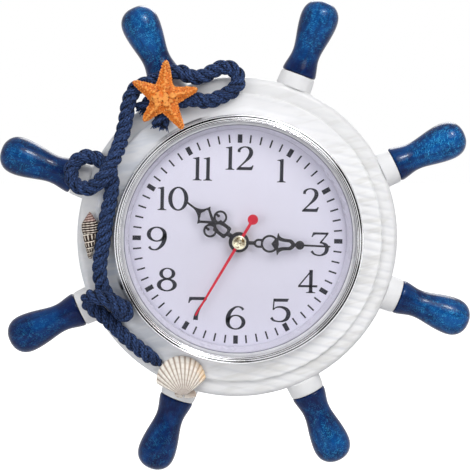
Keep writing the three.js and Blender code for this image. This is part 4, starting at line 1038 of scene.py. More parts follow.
class CLOCK_OT_handles(bpy.types.Operator):
    """Turns one handle and one collar, and copies them round the rim"""

    bl_idname = "clock.handles"
    bl_label = "Handles and collars"

    def execute(self, context):
        handle = handle_body()
        collar = turn("collar_painted", eased(COLLAR_PROFILE, 0.5), 72, smooth=40, upright=True)
        for number in range(1, HANDLE_COUNT + 1):
            angle = math.radians(HANDLE_ANGLE + (number - 1) * 360 / HANDLE_COUNT)
            for source, name, finish, slot, node in (
                (handle, "handle_varnished", "blue_varnish", "blue_varnish", "handle"),
                (collar, "collar_painted", "collar_paint", "white_paint", "handle_collar"),
            ):
                made = twin(source, f"{name}_{number}")
                note(made, "grain", places_of(made) / 1000 + number * GRAIN_STEP, "FLOAT_VECTOR")
                turn_piece(made, math.radians(SEAM_TURN * number), (0, 0, 1))
                shift_piece(made, (0, -HANDLE_DEPTH, 0))
                turn_piece(made, angle)
                out = np.clip((round_clock(places_of(made))[0] - SPRAY_START) / SPRAY_REACH, 0, 1)
                # Painted highlight: the spray is stronger where the surface faces the front or the back
                facing_light = np.abs(normals_of(made)[:, 1]) ** 1.3
                note(made, "spray_and_facing_light", HANDLE_SPRAY[number - 1] * facing_light * (0.15 + 0.85 * out))
                dress(made, finish, f"{node}_{number}", slot=slot)
        for source in (handle, collar):
            bpy.data.objects.remove(source)
        return {"FINISHED"}


class CLOCK_OT_hanger(bpy.types.Operator):
    """Finishes the keyhole plate and its two screws"""

    bl_idname = "clock.hanger"
    bl_label = "Hanger plate"

    def execute(self, context):
        for node, name, width in (
            ("hanger_plate", "hanger_plate_zinc", 0.22),
            ("hanger_screw_1", "hanger_screw_zinc_1", 0.12),
            ("hanger_screw_2", "hanger_screw_zinc_2", 0.12),
        ):
            dress(softened(node, name, width), "zinc_steel", node)
        return {"FINISHED"}


# Pieces of the insert

# Clock angles between which the painted dark reflections in the bezel's grooves are strong, and between which
# they are pale
DARK_STRETCHES = ((50, 88), (98, 142), (172, 186), (205, 252), (322, 352))
PALE_STRETCH = (254, 320)
BEZEL_FOOT = [
    (66.9, 30.1), (66.9, 22.8), (69.5, 22.8), (69.5, 24.6), (69.2, 24.9), (69.2, 25.3), (69.5, 25.6),
]
# Outer and inner radius of each of the bezel's beads, and the depths of its foot and its crest
BEZEL_BEADS = (
    (69.5, 68.2, 29.0, 30.4), (68.1, 67.0, 30.0, 31.0), (66.9, 66.2, 30.2, 30.85), (66.1, 65.7, 30.1, 30.5),
)
BEAD_STEPS = 10
# Radius, width and darkness of the painted dark reflection in each groove between the beads, and the depth
# behind which none is painted
BEZEL_GROOVES = ((68.15, 0.26, 1.0), (66.95, 0.16, 0.7), (66.15, 0.12, 0.6))
GROOVE_DEPTH = 29
LENS_PROFILE = [(0, 28.0), (66.3, 28.0), (66.3, 29.8), (0, 29.8)]


class CLOCK_OT_bezel(bpy.types.Operator):
    """Turns the chromed bezel with its fine steps"""

    bl_idname = "clock.bezel"
    bl_label = "Bezel"

    def execute(self, context):
        profile = eased(BEZEL_FOOT, 0.12, 2, closed=False)
        for outer, inner, low, crest in BEZEL_BEADS:
            middle, half = (outer + inner) / 2, (outer - inner) / 2
            for step in range(BEAD_STEPS + 1):
                a = math.pi * step / BEAD_STEPS
                profile.append((middle + half * math.cos(a), low + (crest - low) * math.sin(a) ** 0.8))
        bezel = turn("bezel_chromed", profile, 288, smooth=60)
        radius, turned, depth = round_clock(places_of(bezel))
        # The painted dark reflections are wider and stronger over the dark stretches and weaker over the pale
        # one
        wear_and_dark_reflection = sum(between(turned, start, end, 5) for start, end in DARK_STRETCHES)
        level = 0.5 + 0.5 * wear_and_dark_reflection - 0.36 * between(turned, *PALE_STRETCH, 5)
        painted_crevice_shade = np.zeros(len(radius))
        for middle, wide, dark in BEZEL_GROOVES:
            near = np.clip(1.6 - np.abs(radius - middle) / (wide * (1 + 0.7 * wear_and_dark_reflection)), 0, 1)
            painted_crevice_shade = np.maximum(painted_crevice_shade, level * dark * near * (depth > GROOVE_DEPTH))
        note(bezel, "painted_crevice_shade", painted_crevice_shade)
        dress(bezel, "bezel_chrome", "bezel")
        return {"FINISHED"}


class CLOCK_OT_lens(bpy.types.Operator):
    """Turns the flat clear lens with polished edges"""

    bl_idname = "clock.lens"
    bl_label = "Lens"

    def execute(self, context):
        lens = turn("lens_clear", eased(LENS_PROFILE, 0.3, closed=False), 192, closed=False, smooth=40)
        dress(lens, "lens_glass", "lens")
        lens.visible_shadow = False
        return {"FINISHED"}


def ribbon(path):
    """The two sides of a stroke along (x, z, width) points, smoothed between them."""
    line = curved(path, 10)
    left, right = [], []
    for i, point in enumerate(line):
        ahead = line[min(i + 1, len(line) - 1)] - line[max(i - 1, 0)]
        side = np.array([-ahead[1], ahead[0]]) / max(math.hypot(ahead[0], ahead[1]), 1e-9)
        left.append(point[:2] + side * point[2] / 2)
        right.append(point[:2] - side * point[2] / 2)
    return left, right


def oval(x, z, across, up):
    angles = [FULL_TURN * i / 48 for i in range(48)]
    return [(x + across * math.cos(a), z + up * math.sin(a)) for a in angles]


# Width and shapes of each numeral, in thousandths of its height. A shape is a filled outline of (x, z),
# a ring of an outer and an inner oval of (x, z, across, up), or a stroke of (x, z, width).
NUMERAL_SHAPES = {
    "0": (860, [
        ("ring", [(430, 500, 430, 515), (430, 500, 270, 458)]),
    ]),
    "1": (380, [
        ("fill", [(0, 0), (380, 0), (380, 30), (300, 50), (270, 100), (270, 1000), (220, 1000), (120, 975),
            (0, 955), (0, 925), (90, 915), (120, 885), (120, 100), (90, 50), (0, 30)]),
    ]),
    "2": (760, [
        ("stroke", [(110, 760, 110), (130, 870, 100), (250, 965, 60), (420, 985, 55), (580, 900, 120),
            (630, 740, 155), (550, 550, 130), (350, 330, 70), (70, 60, 50)]),
        ("fill", [(20, 0), (680, 0), (750, 200), (700, 210), (640, 145), (560, 130), (120, 130), (20, 50)]),
    ]),
    "3": (800, [
        ("fill", [(100, 1000), (770, 1000), (750, 940), (640, 905), (200, 905), (130, 870), (70, 790),
            (30, 800)]),
        ("stroke", [(740, 965, 60), (600, 780, 55), (420, 550, 60)]),
        ("stroke", [(400, 555, 50), (520, 545, 70), (660, 460, 130), (710, 320, 155), (660, 140, 130),
            (500, 30, 70), (330, 15, 55), (160, 70, 70), (50, 190, 100)]),
    ]),
    "4": (830, [
        ("fill", [(470, 30), (470, 1000), (600, 1000), (620, 985), (620, 30)]),
        ("fill", [(0, 250), (830, 250), (830, 345), (45, 345), (0, 300)]),
        ("stroke", [(575, 985, 55), (300, 645, 55), (25, 300, 55)]),
        ("fill", [(340, 0), (750, 0), (750, 35), (660, 50), (610, 90), (480, 90), (430, 50), (340, 35)]),
    ]),
    "5": (880, [
        ("fill", [(130, 1000), (800, 1000), (740, 865), (130, 865)]),
        ("stroke", [(155, 930, 50), (145, 720, 50), (130, 500, 50)]),
        ("stroke", [(130, 515, 45), (270, 620, 55), (500, 630, 85), (720, 520, 140), (795, 340, 165),
            (720, 130, 140), (530, 20, 70), (330, 12, 55), (150, 60, 80), (50, 170, 110)]),
    ]),
    "6": (880, [
        ("ring", [(455, 315, 425, 325), (455, 315, 270, 270)]),
        ("stroke", [(115, 300, 160), (120, 520, 165), (210, 760, 140), (400, 945, 80), (560, 985, 55),
            (700, 940, 80), (770, 850, 100)]),
    ]),
    "7": (840, [
        ("fill", [(60, 1000), (820, 1000), (820, 900), (740, 865), (180, 865), (110, 820), (60, 730),
            (10, 740)]),
        ("stroke", [(780, 920, 60), (600, 680, 80), (450, 420, 120), (360, 180, 160), (340, 5, 185)]),
    ]),
    "8": (880, [
        ("ring", [(450, 755, 345, 250), (450, 765, 200, 195)]),
        ("ring", [(440, 270, 430, 282), (440, 262, 268, 218)]),
    ]),
    "9": (880, [
        ("ring", [(425, 685, 425, 325), (425, 685, 270, 270)]),
        ("stroke", [(765, 700, 160), (760, 480, 165), (670, 240, 140), (480, 55, 80), (320, 15, 55),
            (180, 60, 80), (110, 150, 100)]),
    ]),
}

# Middle of each numeral from the print's middle, before the print is turned
NUMERAL_PLACES = {
    "12": (0.5, 45.4), "1": (24.0, 38.9), "2": (40.7, 22.7), "3": (46.6, -1.9), "4": (40.4, -23.2),
    "5": (25.3, -39.7), "6": (0.0, -44.5), "7": (-21.4, -39.5), "8": (-38.9, -23.4), "9": (-44.9, -0.4),
    "10": (-36.4, 22.1), "11": (-20.2, 39.1),
}
# Numerals are drawn about the print's middle, and the marks about their own
PRINT_CENTRE = (-0.5, -0.6)
MARKS_CENTRE = (-0.15, -0.8)
MARKS_RADIUS = 56.6
# Half width and half length of an hour's mark and of a minute's
HOUR_MARK = (1.3, 2.35)
MINUTE_MARK = (0.46, 2.3)
# How much wider than drawn the strokes are, and the gap between two numerals in units of their height
STROKE_WEIGHT = 1.13
NUMERAL_GAP = 0.07
PRINT_DEPTH = 18.3
PRINT_THICKNESS = 0.03
CARD_PROFILE = [(0, 17.8), (64.2, 17.8), (64.2, 18.3), (0, 18.3)]
REFLECTOR_PROFILE = [
    (61.1, 18.6), (61.9, 18.6), (64.4, 27.0), (66.3, 27.0), (66.3, 27.6), (65.7, 27.7), (65.5, 27.45),
    (65.3, 27.7), (64.0, 27.7), (63.75, 27.4), (63.5, 27.6), (63.1, 25.6), (62.9, 25.4), (62.1, 22.4),
    (61.9, 22.2),
]
CUP_PROFILE = [
    (0, 16.3), (64.4, 16.3), (65.8, 17.7), (65.8, 24.5), (66.4, 25.7), (65.8, 26.9), (65.8, 27.0),
    (64.8, 27.0), (64.8, 17.5), (0, 17.5),
]
BAND_RIBS = 5


class Print:
    """Flat printed shapes gathered into one thin piece."""

    def __init__(self, depth, thickness):
        self.points, self.faces = [], []
        self.depth, self.thickness = depth, thickness

    def area(self, outline):
        """A closed outline of (x, z), filled and given its thickness."""
        start, count = len(self.points), len(outline)
        area = sum(a[0] * b[1] - b[0] * a[1] for a, b in zip(outline, outline[1:] + outline[:1]))
        corners = list(outline) if area > 0 else list(reversed(outline))
        for depth in (self.depth, self.depth + self.thickness):
            self.points += [(x, -depth, z) for x, z in corners]
        back = list(range(start, start + count))
        front = [i + count for i in back]
        self.faces += [tuple(reversed(back)), tuple(front)]
        for i in range(count):
            j = (i + 1) % count
            self.faces.append((back[i], back[j], front[j], front[i]))

    def strip(self, left, right, closed=False):
        """A band between two lines of (x, z)."""
        start, count = len(self.points), len(left)
        for depth in (self.depth, self.depth + self.thickness):
            for line in (left, right):
                self.points += [(p[0], -depth, p[1]) for p in line]
        at = lambda layer, side, i: start + (2 * layer + side) * count + i % count
        for i in range(count if closed else count - 1):
            self.faces += [
                (at(1, 0, i), at(1, 1, i), at(1, 1, i + 1), at(1, 0, i + 1)),
                (at(0, 0, i), at(0, 0, i + 1), at(0, 1, i + 1), at(0, 1, i)),
                (at(0, 0, i), at(1, 0, i), at(1, 0, i + 1), at(0, 0, i + 1)),
                (at(0, 1, i), at(0, 1, i + 1), at(1, 1, i + 1), at(1, 1, i)),
            ]
        if not closed:
            for i in (0, count - 1):
                self.faces.append((at(0, 0, i), at(0, 1, i), at(1, 1, i), at(1, 0, i)))

    def piece(self, name):
        made = from_points(name, self.points, self.faces)
        tidy_faces(made, 1e-8)
        return made


def write_numeral(sheet, text, height, place):
    """Draws one numeral with its middle at a place."""
    width = sum(NUMERAL_SHAPES[c][0] / 1000 for c in text) + NUMERAL_GAP * (len(text) - 1)
    x = -width / 2
    for character in text:
        advance, shapes = NUMERAL_SHAPES[character]
        put = lambda p, x=x: (place[0] + (x + p[0]) * height, place[1] + (p[1] - 0.5) * height)
        for kind, rows in shapes:
            rows = [tuple(level / 1000 for level in row) for row in rows]
            if kind == "fill":
                sheet.area([put(p) for p in rows])
            elif kind == "ring":
                outer, (x_mid, z_mid, across, up) = rows
                inner = oval(x_mid, z_mid, across * 0.94, up * 0.98)
                sheet.strip([put(p) for p in oval(*outer)], [put(p) for p in inner], closed=True)
            else:
                left, right = ribbon([(x_at, z_at, wide * STROKE_WEIGHT) for x_at, z_at, wide in rows])
                sheet.strip([put(p) for p in left], [put(p) for p in right])
        x += advance / 1000 + NUMERAL_GAP


def minute_marks(turned):
    """Sixty bars, each turned from its corners about the marks' middle."""
    marks = Print(PRINT_DEPTH, PRINT_THICKNESS)
    for minute in range(60):
        angle = FULL_TURN * minute / 60 + turned
        s, c = math.sin(angle), math.cos(angle)
        half, long = HOUR_MARK if minute % 5 == 0 else MINUTE_MARK
        low, high = MARKS_RADIUS - long, MARKS_RADIUS + long
        corners = [(-half, low), (half, low), (half, high), (-half, high)]
        marks.area([(MARKS_CENTRE[0] + x * c + z * s, MARKS_CENTRE[1] - x * s + z * c) for x, z in corners])
    return marks.piece("dial_minute_marks")


def numerals(turned, height):
    sheet = Print(PRINT_DEPTH, PRINT_THICKNESS)
    for text, place in NUMERAL_PLACES.items():
        write_numeral(sheet, text, height, place)
    piece = sheet.piece("dial_numerals")
    turn_piece(piece, turned)
    shift_piece(piece, (PRINT_CENTRE[0], 0, PRINT_CENTRE[1]))
    return piece


def reflector_ring():
    """The ring round the dial, with notes of its flange and of the painted shade lines in its creases."""
    ring = turn("reflector_ring_moulded", eased(REFLECTOR_PROFILE, 0.1, 2), 256, smooth=40)
    radius, _, _ = round_clock(places_of(ring))
    note(ring, "flange", fade(63.75, 64.0, radius))
    inner = np.clip(1.2 - np.abs(radius - 63.7) / 0.24, 0, 1)
    note(ring, "painted_crevice_shade", inner + 0.4 * np.clip(1 - np.abs(radius - 65.5) / 0.25, 0, 1))
    return ring


def open_for_shaft(plate):
    """Cuts the opening that the movement's bush passes through."""
    place = (SHAFT[0] / 1000, -0.0173, SHAFT[1] / 1000)
    bpy.ops.mesh.primitive_cylinder_add(
        vertices=64, radius=0.0036, depth=0.006, location=place, rotation=(math.pi / 2, 0, 0)
    )
    rod = bpy.context.object
    settle(rod)
    cut_away(plate, rod)


class CLOCK_OT_dial(bpy.types.Operator):
    """Makes the dial card, its printed marks and numerals, the reflector ring, the cup and the band"""

    bl_idname = "clock.dial"
    bl_label = "Dial and cup"

    def execute(self, context):
        settings = context.scene.clock_dial
        card = turn("dial_card", eased(CARD_PROFILE, 0.08, 2, closed=False), 192, closed=False, smooth=40)
        open_for_shaft(card)
        dress(card, "dial_card", "dial")
        dress(minute_marks(settings.print_turn), "ink", slot="dial_card")
        dress(numerals(settings.print_turn, settings.numeral_height * 1000), "ink", slot="dial_card")
        dress(reflector_ring(), "reflector_plastic", "reflector_ring")
        cup = turn("dial_cup_moulded", eased(CUP_PROFILE, 0.3, 2, closed=False), 160, closed=False, smooth=40)
        open_for_shaft(cup)
        dress(cup, "cup_plastic", "dial_cup")
        ribs = [(66.1, 19.0)]
        for i in range(BAND_RIBS):
            ribs += [(66.5, 19.1 + 0.6 * i), (66.5, 19.4 + 0.6 * i), (66.35, 19.55 + 0.6 * i)]
        band = turn("friction_band_rubber", ribs + [(66.1, 22.0)], 160, smooth=40)
        dress(band, "band_rubber", "friction_band")
        return {"FINISHED"}


# Hands

def mirrored(half):
    """A closed outline from its right half, drawn from the bottom to the top."""
    return list(half) + [(-x, z) for x, z in reversed(half) if abs(x) > 1e-6]


def plate_piece(name, outlines, back, thickness, width=0.06):
    """A flat plate from filled outlines with holes, as a curve made solid with a small bevel."""
    curve = bpy.data.curves.new(name, "CURVE")
    curve.dimensions = "2D"
    curve.fill_mode = "BOTH"
    curve.extrude = (thickness / 2 - width) / 1000
    curve.bevel_depth = width / 1000
    curve.bevel_resolution = 1
    curve.offset = -width / 1000
    for points in outlines:
        spline = curve.splines.new("POLY")
        spline.points.add(len(points) - 1)
        for target, (x, z) in zip(spline.points, points):
            target.co = (x / 1000, z / 1000, 0, 1)
        spline.use_cyclic_u = True
    drawn = bpy.data.objects.new(name, curve)
    bpy.context.scene.collection.objects.link(drawn)
    take(drawn)
    bpy.ops.object.convert(target="MESH")
    piece = bpy.context.object
    turn_piece(piece, math.pi / 2, "X")
    shift_piece(piece, (0, -(back + thickness / 2), 0))
    tidy_faces(piece, 1e-7)
    smooth_shade(piece, 30)
    return piece


def plates(back, thickness, rows):
    """Plates on one back, from rows of a name, how much thicker it is than the rest, and its outlines."""
    return [plate_piece(name, outlines, back, thickness + more) for name, more, *outlines in rows]


def hour_hand_parts(back, thickness):
    """The hour hand's plates: a hub, a lyre, two rings with dots, and a spade with a needle."""
    lyre = mirrored([
        (0, 5.0), (1.3, 5.0), (1.25, 7.2), *curved([(1.5, 7.5), (3.2, 7.9), (3.7, 8.9), (3.7, 10.5)], 4),
        (3.7, 15.6), (0.9, 16.8), (0, 17.4),
    ])
    slot = mirrored([
        (0, 9.0), *curved([(0.9, 9.05), (1.6, 9.6), (1.75, 10.6), (1.7, 12.6)], 4),
        *curved([(1.7, 12.6), (1.1, 14.8), (0, 16.0)], 4),
    ])
    spade = mirrored([
        (0, 16.2), (1.0, 16.8), (1.9, 19.0),
        *curved([(2.6, 20.6), (4.2, 23.0), (5.0, 24.0), (5.95, 24.5)], 4),
        *curved([(5.9, 24.9), (3.6, 26.2), (1.9, 28.0), (0.9, 30.2), (0.6, 31.6)], 4),
        (0.55, 36.3), (0.3, 36.9), (0, 36.95),
    ])
    kite = mirrored([(0, 19.4), (1.9, 22.2), (3.6, 24.6), (3.2, 25.3), (1.8, 25.8), (0, 26.7)])
    rows = [
        ("lyre", 0, lyre, slot),
        ("spade", -0.02, spade, kite),
        ("hub", 0.02, arc(0, 0, 5.7, 0, 350, 47), arc(0, 0, 2.85, 0, 350, 31)),
    ]
    for x in (-4.7, 4.7):
        dot = arc(x, 18.0, 0.8, 180, 360, 12) + [(x + 0.55, 19.6), (x - 0.55, 19.6)]
        rows.append(("ring", -0.04, arc(x, 16.7, 3.85, 0, 352, 43), arc(x, 16.7, 2.65, 0, 350, 35)))
        rows.append(("dot", -0.06, dot))
    return plates(back, thickness, rows)


def minute_hand_parts(back, thickness):
    """The minute hand's plates: a hub, a loop, a ring with a wedge, a tulip, a ball and a needle."""
    loop = mirrored([
        (0, 5.0), (1.05, 5.0), (1.0, 8.2), *curved([(1.3, 8.6), (2.2, 9.5), (2.55, 10.8), (2.5, 12.9)], 4),
        (0, 12.9),
    ])
    loop_hole = mirrored([
        (0, 9.5), *curved([(0.6, 9.65), (1.1, 10.2), (1.3, 11.0), (1.2, 12.2)], 4), (0, 12.2),
    ])
    wedge = mirrored([(0, 18.1), (3.3, 20.4), (3.6, 20.9), *curved([(3.4, 21.2), (2.0, 21.9), (0, 22.2)], 4)])
    tulip = mirrored([
        (0, 21.4), (3.4, 21.2), *curved([(3.4, 21.1), (4.6, 21.2), (6.2, 21.5)], 3),
        *curved([(6.2, 21.9), (4.6, 22.6), (3.6, 24.4), (3.2, 26.8), (3.1, 28.4)], 5),
        *curved([(3.0, 29.0), (2.3, 30.2), (1.1, 31.3), (0.8, 32.4)], 4), (0, 32.4),
    ])
    hole_side = [(2.05, 22.2), (1.55, 24.2), (1.35, 26.3), (1.25, 27.8), (0.9, 28.6), (0, 29.2)]
    tulip_hole = mirrored([(0, 22.4), (2.0, 22.0), *curved(hole_side, 4)])
    needle = mirrored([(0, 31.0), (0.55, 31.0), (0.55, 49.6), (0.45, 51.2), (0, 51.3)])
    return plates(back, thickness, [
        ("loop", 0, loop, loop_hole),
        ("ring", -0.02, arc(0, 17.2, 5.0, 0, 353, 51), arc(0, 17.2, 3.8, 0, 352, 43)),
        ("wedge", -0.04, wedge),
        ("tulip", -0.06, tulip, tulip_hole),
        ("ball", 0.02, arc(0, 34.1, 2.5, 0, 350, 35)),
        ("needle", -0.08, needle),
        ("hub", 0.04, arc(0, 0, 5.65, 0, 350, 47), arc(0, 0, 1.95, 0, 350, 31)),
    ])


def second_hand_parts(back, width):
    """The second hand's plates: a blade, a disc on its tail and a hub."""
    blade = mirrored([
        (0, -14.9), (0.8, -14.9), (0.82, 0), (0.68, 30.0), (0.5, 47.3), (0.25, 47.6), (0, 47.6),
    ])
    hub = [arc(0, 0, 3.7, 0, 350, 35), arc(0, 0, 0.75, 0, 345, 23)]
    return [
        plate_piece("blade", [blade], back, 0.3, width),
        plate_piece("disc", [arc(0, -14.9, 2.9, 0, 350, 35)], back, 0.34, width),
        plate_piece("hub", hub, back, 0.36, width),
    ]


CAP_RADIUS = 4
CAP_PROFILE = [
    (0, 25.4), (3.5, 25.4), (3.9, 25.5), (4.0, 25.8), (3.92, 26.1), (3.7, 26.35), (3.45, 26.45),
    (3.25, 26.42), (3.0, 26.45), (2.3, 26.7), (1.5, 26.83), (0.7, 26.89), (0, 26.9),
]
# Clock angles of the hour, minute and second hand in the photograph
HAND_ANGLES = (307.8, 93.0, 211.0)


class CLOCK_OT_hands(bpy.types.Operator):
    """Makes the hour, minute and second hand and the brass cap"""

    bl_idname = "clock.hands"
    bl_label = "Hands"

    def execute(self, context):
        hour = join("hour_hand_painted", hour_hand_parts(22.0, 0.4))
        minute = join("minute_hand_painted", minute_hand_parts(23.4, 0.4))
        second = join("second_hand_painted", second_hand_parts(24.8, 0.05))
        cap = turn("second_hand_cap_brass", CAP_PROFILE, 72, closed=False, smooth=50)
        note(cap, "girth", round_clock(places_of(cap))[0] / CAP_RADIUS)
        for hand, angle, finish, body, slot, node in (
            (hour, HAND_ANGLES[0], "black_paint", "hour_group", "black_paint", "hour_hand"),
            (minute, HAND_ANGLES[1], "black_paint", "minute_group", "black_paint", "minute_hand"),
            (second, HAND_ANGLES[2], "red_paint", "second_group", "red_paint", "second_hand"),
            (cap, 0.0, "cap_brass", "second_group", "brass", "second_hand_cap"),
        ):
            turn_piece(hand, math.radians(angle))
            shift_piece(hand, (SHAFT[0], 0, SHAFT[1]))
            dress(hand, finish, node, body=body, slot=slot)
        return {"FINISHED"}


# Nodes of the movement that are rounded, with the new piece's name, the width, the finish and the body
ROUNDED_NODES = (
    ("movement_case_front", "movement_case_front_moulded", 0.35, "case_plastic", "clock"),
    ("movement_case_back", "movement_case_back_moulded", 0.3, "case_plastic", "clock"),
    ("mounting_washer", "mounting_washer_brass", 0.12, "brass", "clock"),
    ("mounting_nut", "mounting_nut_brass", 0.12, "brass", "clock"),
    ("setting_knob", "setting_knob_moulded", 0.2, "rotor_plastic", "motion_group"),
    ("coil", "coil_wound", 0.3, "coil_copper", "clock"),
)
# Finishes of the works, which keep their CAD shapes
WORKS = {
    "gear_plastic": (
        "hour_wheel", "centre_wheel", "second_wheel", "third_wheel", "intermediate_wheel", "motion_wheel",
    ),
    "zinc_steel": (
        "minute_arbor", "stator", "quartz_crystal", "battery_contact_positive", "battery_contact_negative",
    ),
    "rotor_plastic": ("rotor", "control_chip"),
    "board_laminate": ("circuit_board",),
}


class CLOCK_OT_movement(bpy.types.Operator):
    """Finishes the movement's case, nut and washer, and gives its works their materials"""

    bl_idname = "clock.movement"
    bl_label = "Movement"

    def execute(self, context):
        for node, name, width, finish, body in ROUNDED_NODES:
            dress(softened(node, name, width), finish, node, body=body)
        for finish, nodes in WORKS.items():
            for node in nodes:
                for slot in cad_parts[node].material_slots:
                    slot.material = finish_for(finish)
        return {"FINISHED"}


class CLOCK_OT_cell(bpy.types.Operator):
    """Turns the cell with its wrap, rims and nub"""

    bl_idname = "clock.cell"
    bl_label = "Cell"

    def execute(self, context):
        low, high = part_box("battery_cell")
        start, end = low.x * 1000, high.x * 1000
        profile = eased([
            (0, start), (6.2, start), (6.4, start + 0.3), (6.9, start + 0.5), (7.1, start + 1.0),
            (7.1, end - 2.2), (6.8, end - 1.5), (6.1, end - 1.3), (5.9, end - 1.6), (3.4, end - 1.6),
            (3.0, end - 1.2),
            (2.7, end - 0.9), (2.6, end - 0.2), (2.3, end), (0, end),
        ], 0.15, 2, closed=False)
        along_y = [(radius, -along) for radius, along in profile]
        cell = turn("battery_cell_wrapped", along_y, 64, closed=False, smooth=45)
        turn_piece(cell, -math.pi / 2, (0, 0, 1))
        middle = (low + high) * 500
        shift_piece(cell, (0, middle.y, middle.z))
        dress(cell, "cell_wrap", "battery_cell", body="battery")
        return {"FINISHED"}


# Rope

ROUTE_STEPS = 40
ROPE_SPACING = 0.75
STRANDS = 3
STRAND_SIDES = 18
LOOSE_YARNS = 34
YARN_SIDES = 6


def unit(rows):
    return rows / np.linalg.norm(rows, axis=1)[:, None]


def run_along(line):
    """Each point's distance from the line's start."""
    return np.concatenate([[0], np.cumsum(np.linalg.norm(np.diff(line, axis=0), axis=1))])


def rope_line(route):
    """Evenly spaced points on the smooth curve through a route, as the CAD draws it."""
    nodes = [np.array(p, float) for p in route]
    nodes = [2 * nodes[0] - nodes[1], *nodes, 2 * nodes[-1] - nodes[-2]]
    dense = []
    for i in range(1, len(nodes) - 2):
        p0, p1, p2, p3 = nodes[i - 1:i + 3]
        d0, d1, d2 = (
            max(float(np.linalg.norm(b - a)) ** 0.5, 1e-4) for a, b in ((p0, p1), (p1, p2), (p2, p3))
        )
        m1 = ((p1 - p0) / d0 - (p2 - p0) / (d0 + d1) + (p2 - p1) / d1) * d1
        m2 = ((p2 - p1) / d1 - (p3 - p1) / (d1 + d2) + (p3 - p2) / d2) * d1
        for t in (step / ROUTE_STEPS for step in range(ROUTE_STEPS)):
            dense.append(
                p1 * (2 * t ** 3 - 3 * t ** 2 + 1) + m1 * (t ** 3 - 2 * t ** 2 + t)
                + p2 * (-2 * t ** 3 + 3 * t ** 2) + m2 * (t ** 3 - t ** 2)
            )
    dense = np.array([*dense, nodes[-2]])
    run = run_along(dense)
    at = np.linspace(0, run[-1], max(2, int(round(run[-1] / ROPE_SPACING))) + 1)
    return np.stack([np.interp(at, run, dense[:, k]) for k in range(3)], 1), at


def carried_frames(line):
    """The direction ahead and two sideways directions for each point, carried along without twist."""
    ahead = unit(np.gradient(line, axis=0))
    side = np.cross(ahead[0], [0, 1, 0])
    side /= np.linalg.norm(side)
    sides = []
    for t in ahead:
        side = side - t * (side @ t)
        side /= np.linalg.norm(side)
        sides.append(side)
    sides = np.array(sides)
    return ahead, sides, np.cross(ahead, sides)


class RopeMesh:
    """Points and faces of a rope, with notes of its yarns for the material."""

    def __init__(self):
        self.points, self.faces, self.yarn, self.crown, self.fibre = [], [], [], [], []

    def add(self, point, yarn, crown, fibre):
        self.points.append(tuple(point))
        self.yarn.append(yarn)
        self.crown.append(crown)
        self.fibre.append(fibre)


def lay_strand(mesh, k, centre, out, girth, size, yarns):
    """One strand round its own middle line, closed at both ends."""
    along = unit(np.gradient(centre, axis=0))
    across = unit(np.cross(along, out))
    outward = np.cross(across, along)
    start, length = len(mesh.points), run_along(centre)
    for i in range(len(centre)):
        fat = 1.0 + 0.035 * math.sin(length[i] * 0.9 + k * 2.1) * math.sin(length[i] * 0.23 + k)
        for j in range(STRAND_SIDES):
            turned = FULL_TURN * j / STRAND_SIDES
            direction = outward[i] * math.cos(turned) + across[i] * math.sin(turned)
            # The third value, how far the side faces out of the strand, sets the painted light on the crown
            mesh.add(
                centre[i] + direction * size * fat * girth[i],
                yarns * (j / STRAND_SIDES + length[i] / 15.5) + 7.3 * k,
                0.5 + 0.5 * math.cos(turned),
                (length[i] * 0.9 + 31 * k, j * 5.0 / STRAND_SIDES + length[i] * 0.33, k * 3.0),
            )
    last = len(centre) - 1
    mesh.faces += tube_faces(start, last, STRAND_SIDES)
    for end, order in ((0, -1), (last, 1)):
        ring = [start + end * STRAND_SIDES + j for j in range(STRAND_SIDES)]
        tip = len(mesh.points)
        mesh.add(centre[end] + along[end] * order * size * 0.45, 0.0, 0.4, (0.0, 0.0, 0.0))
        for a, b in zip(ring, ring[1:] + ring[:1]):
            mesh.faces.append((tip, a, b) if order < 0 else (tip, b, a))


def laid_rope(route, settings, pinched):
    """Three strands twisted round each other. A pinched rope thins over its last 8 mm."""
    mesh = RopeMesh()
    radius = settings.diameter * 500
    size = radius * 0.51
    offset = radius * 1.04 - size
    line, run = rope_line(route)
    ahead, side, up = carried_frames(line)
    girth = 1 - 0.45 * np.clip((run - run[-1] + 8) / 8, 0, 1) if pinched else np.ones(len(run))
    flare = 1 + 0.45 * np.clip((5 - run) / 5, 0, 1) ** 1.5
    for k in range(STRANDS):
        angle = FULL_TURN * (run / (settings.lay * 1000) + k / STRANDS)
        out = side * np.cos(angle)[:, None] + up * np.sin(angle)[:, None]
        lay_strand(mesh, k, line + out * offset * (girth * flare)[:, None], out, girth, size, settings.yarns)
    return mesh, line, ahead


def fray(mesh, tip, direction, radius, seed):
    """Loose yarns that fan out of a cut end."""
    pick = random.Random(seed)
    direction = Vector(direction).normalized()
    side = direction.orthogonal().normalized()
    up = direction.cross(side)
    for _ in range(LOOSE_YARNS):
        a, r = pick.uniform(0, FULL_TURN), radius * math.sqrt(pick.uniform(0.02, 0.85))
        spread = side * math.cos(a) + up * math.sin(a)
        base = Vector(tip) + spread * r - direction * 0.8
        lean = spread * (r / radius) * pick.uniform(0.1, 0.5)
        reach, thick = pick.uniform(1.8, 4.2), pick.uniform(0.26, 0.42)
        start = len(mesh.points)
        for share, narrow in ((0.0, 1), (0.4, 1), (0.75, 0.85), (1.0, 0.5)):
            centre = base + direction * reach * share + lean * reach * share ** 1.5
            size = thick * narrow
            for j in range(YARN_SIDES):
                b = FULL_TURN * j / YARN_SIDES
                place = centre + side * math.cos(b) * size + up * math.sin(b) * size
                mesh.add(place, 0.5, 0.35 + 0.6 * share, (share * 4, j * 0.8, seed))
        mesh.faces += tube_faces(start, 3, YARN_SIDES)
        mesh.faces.append(tuple(start + j for j in reversed(range(YARN_SIDES))))
        mesh.faces.append(tuple(start + 3 * YARN_SIDES + j for j in range(YARN_SIDES)))


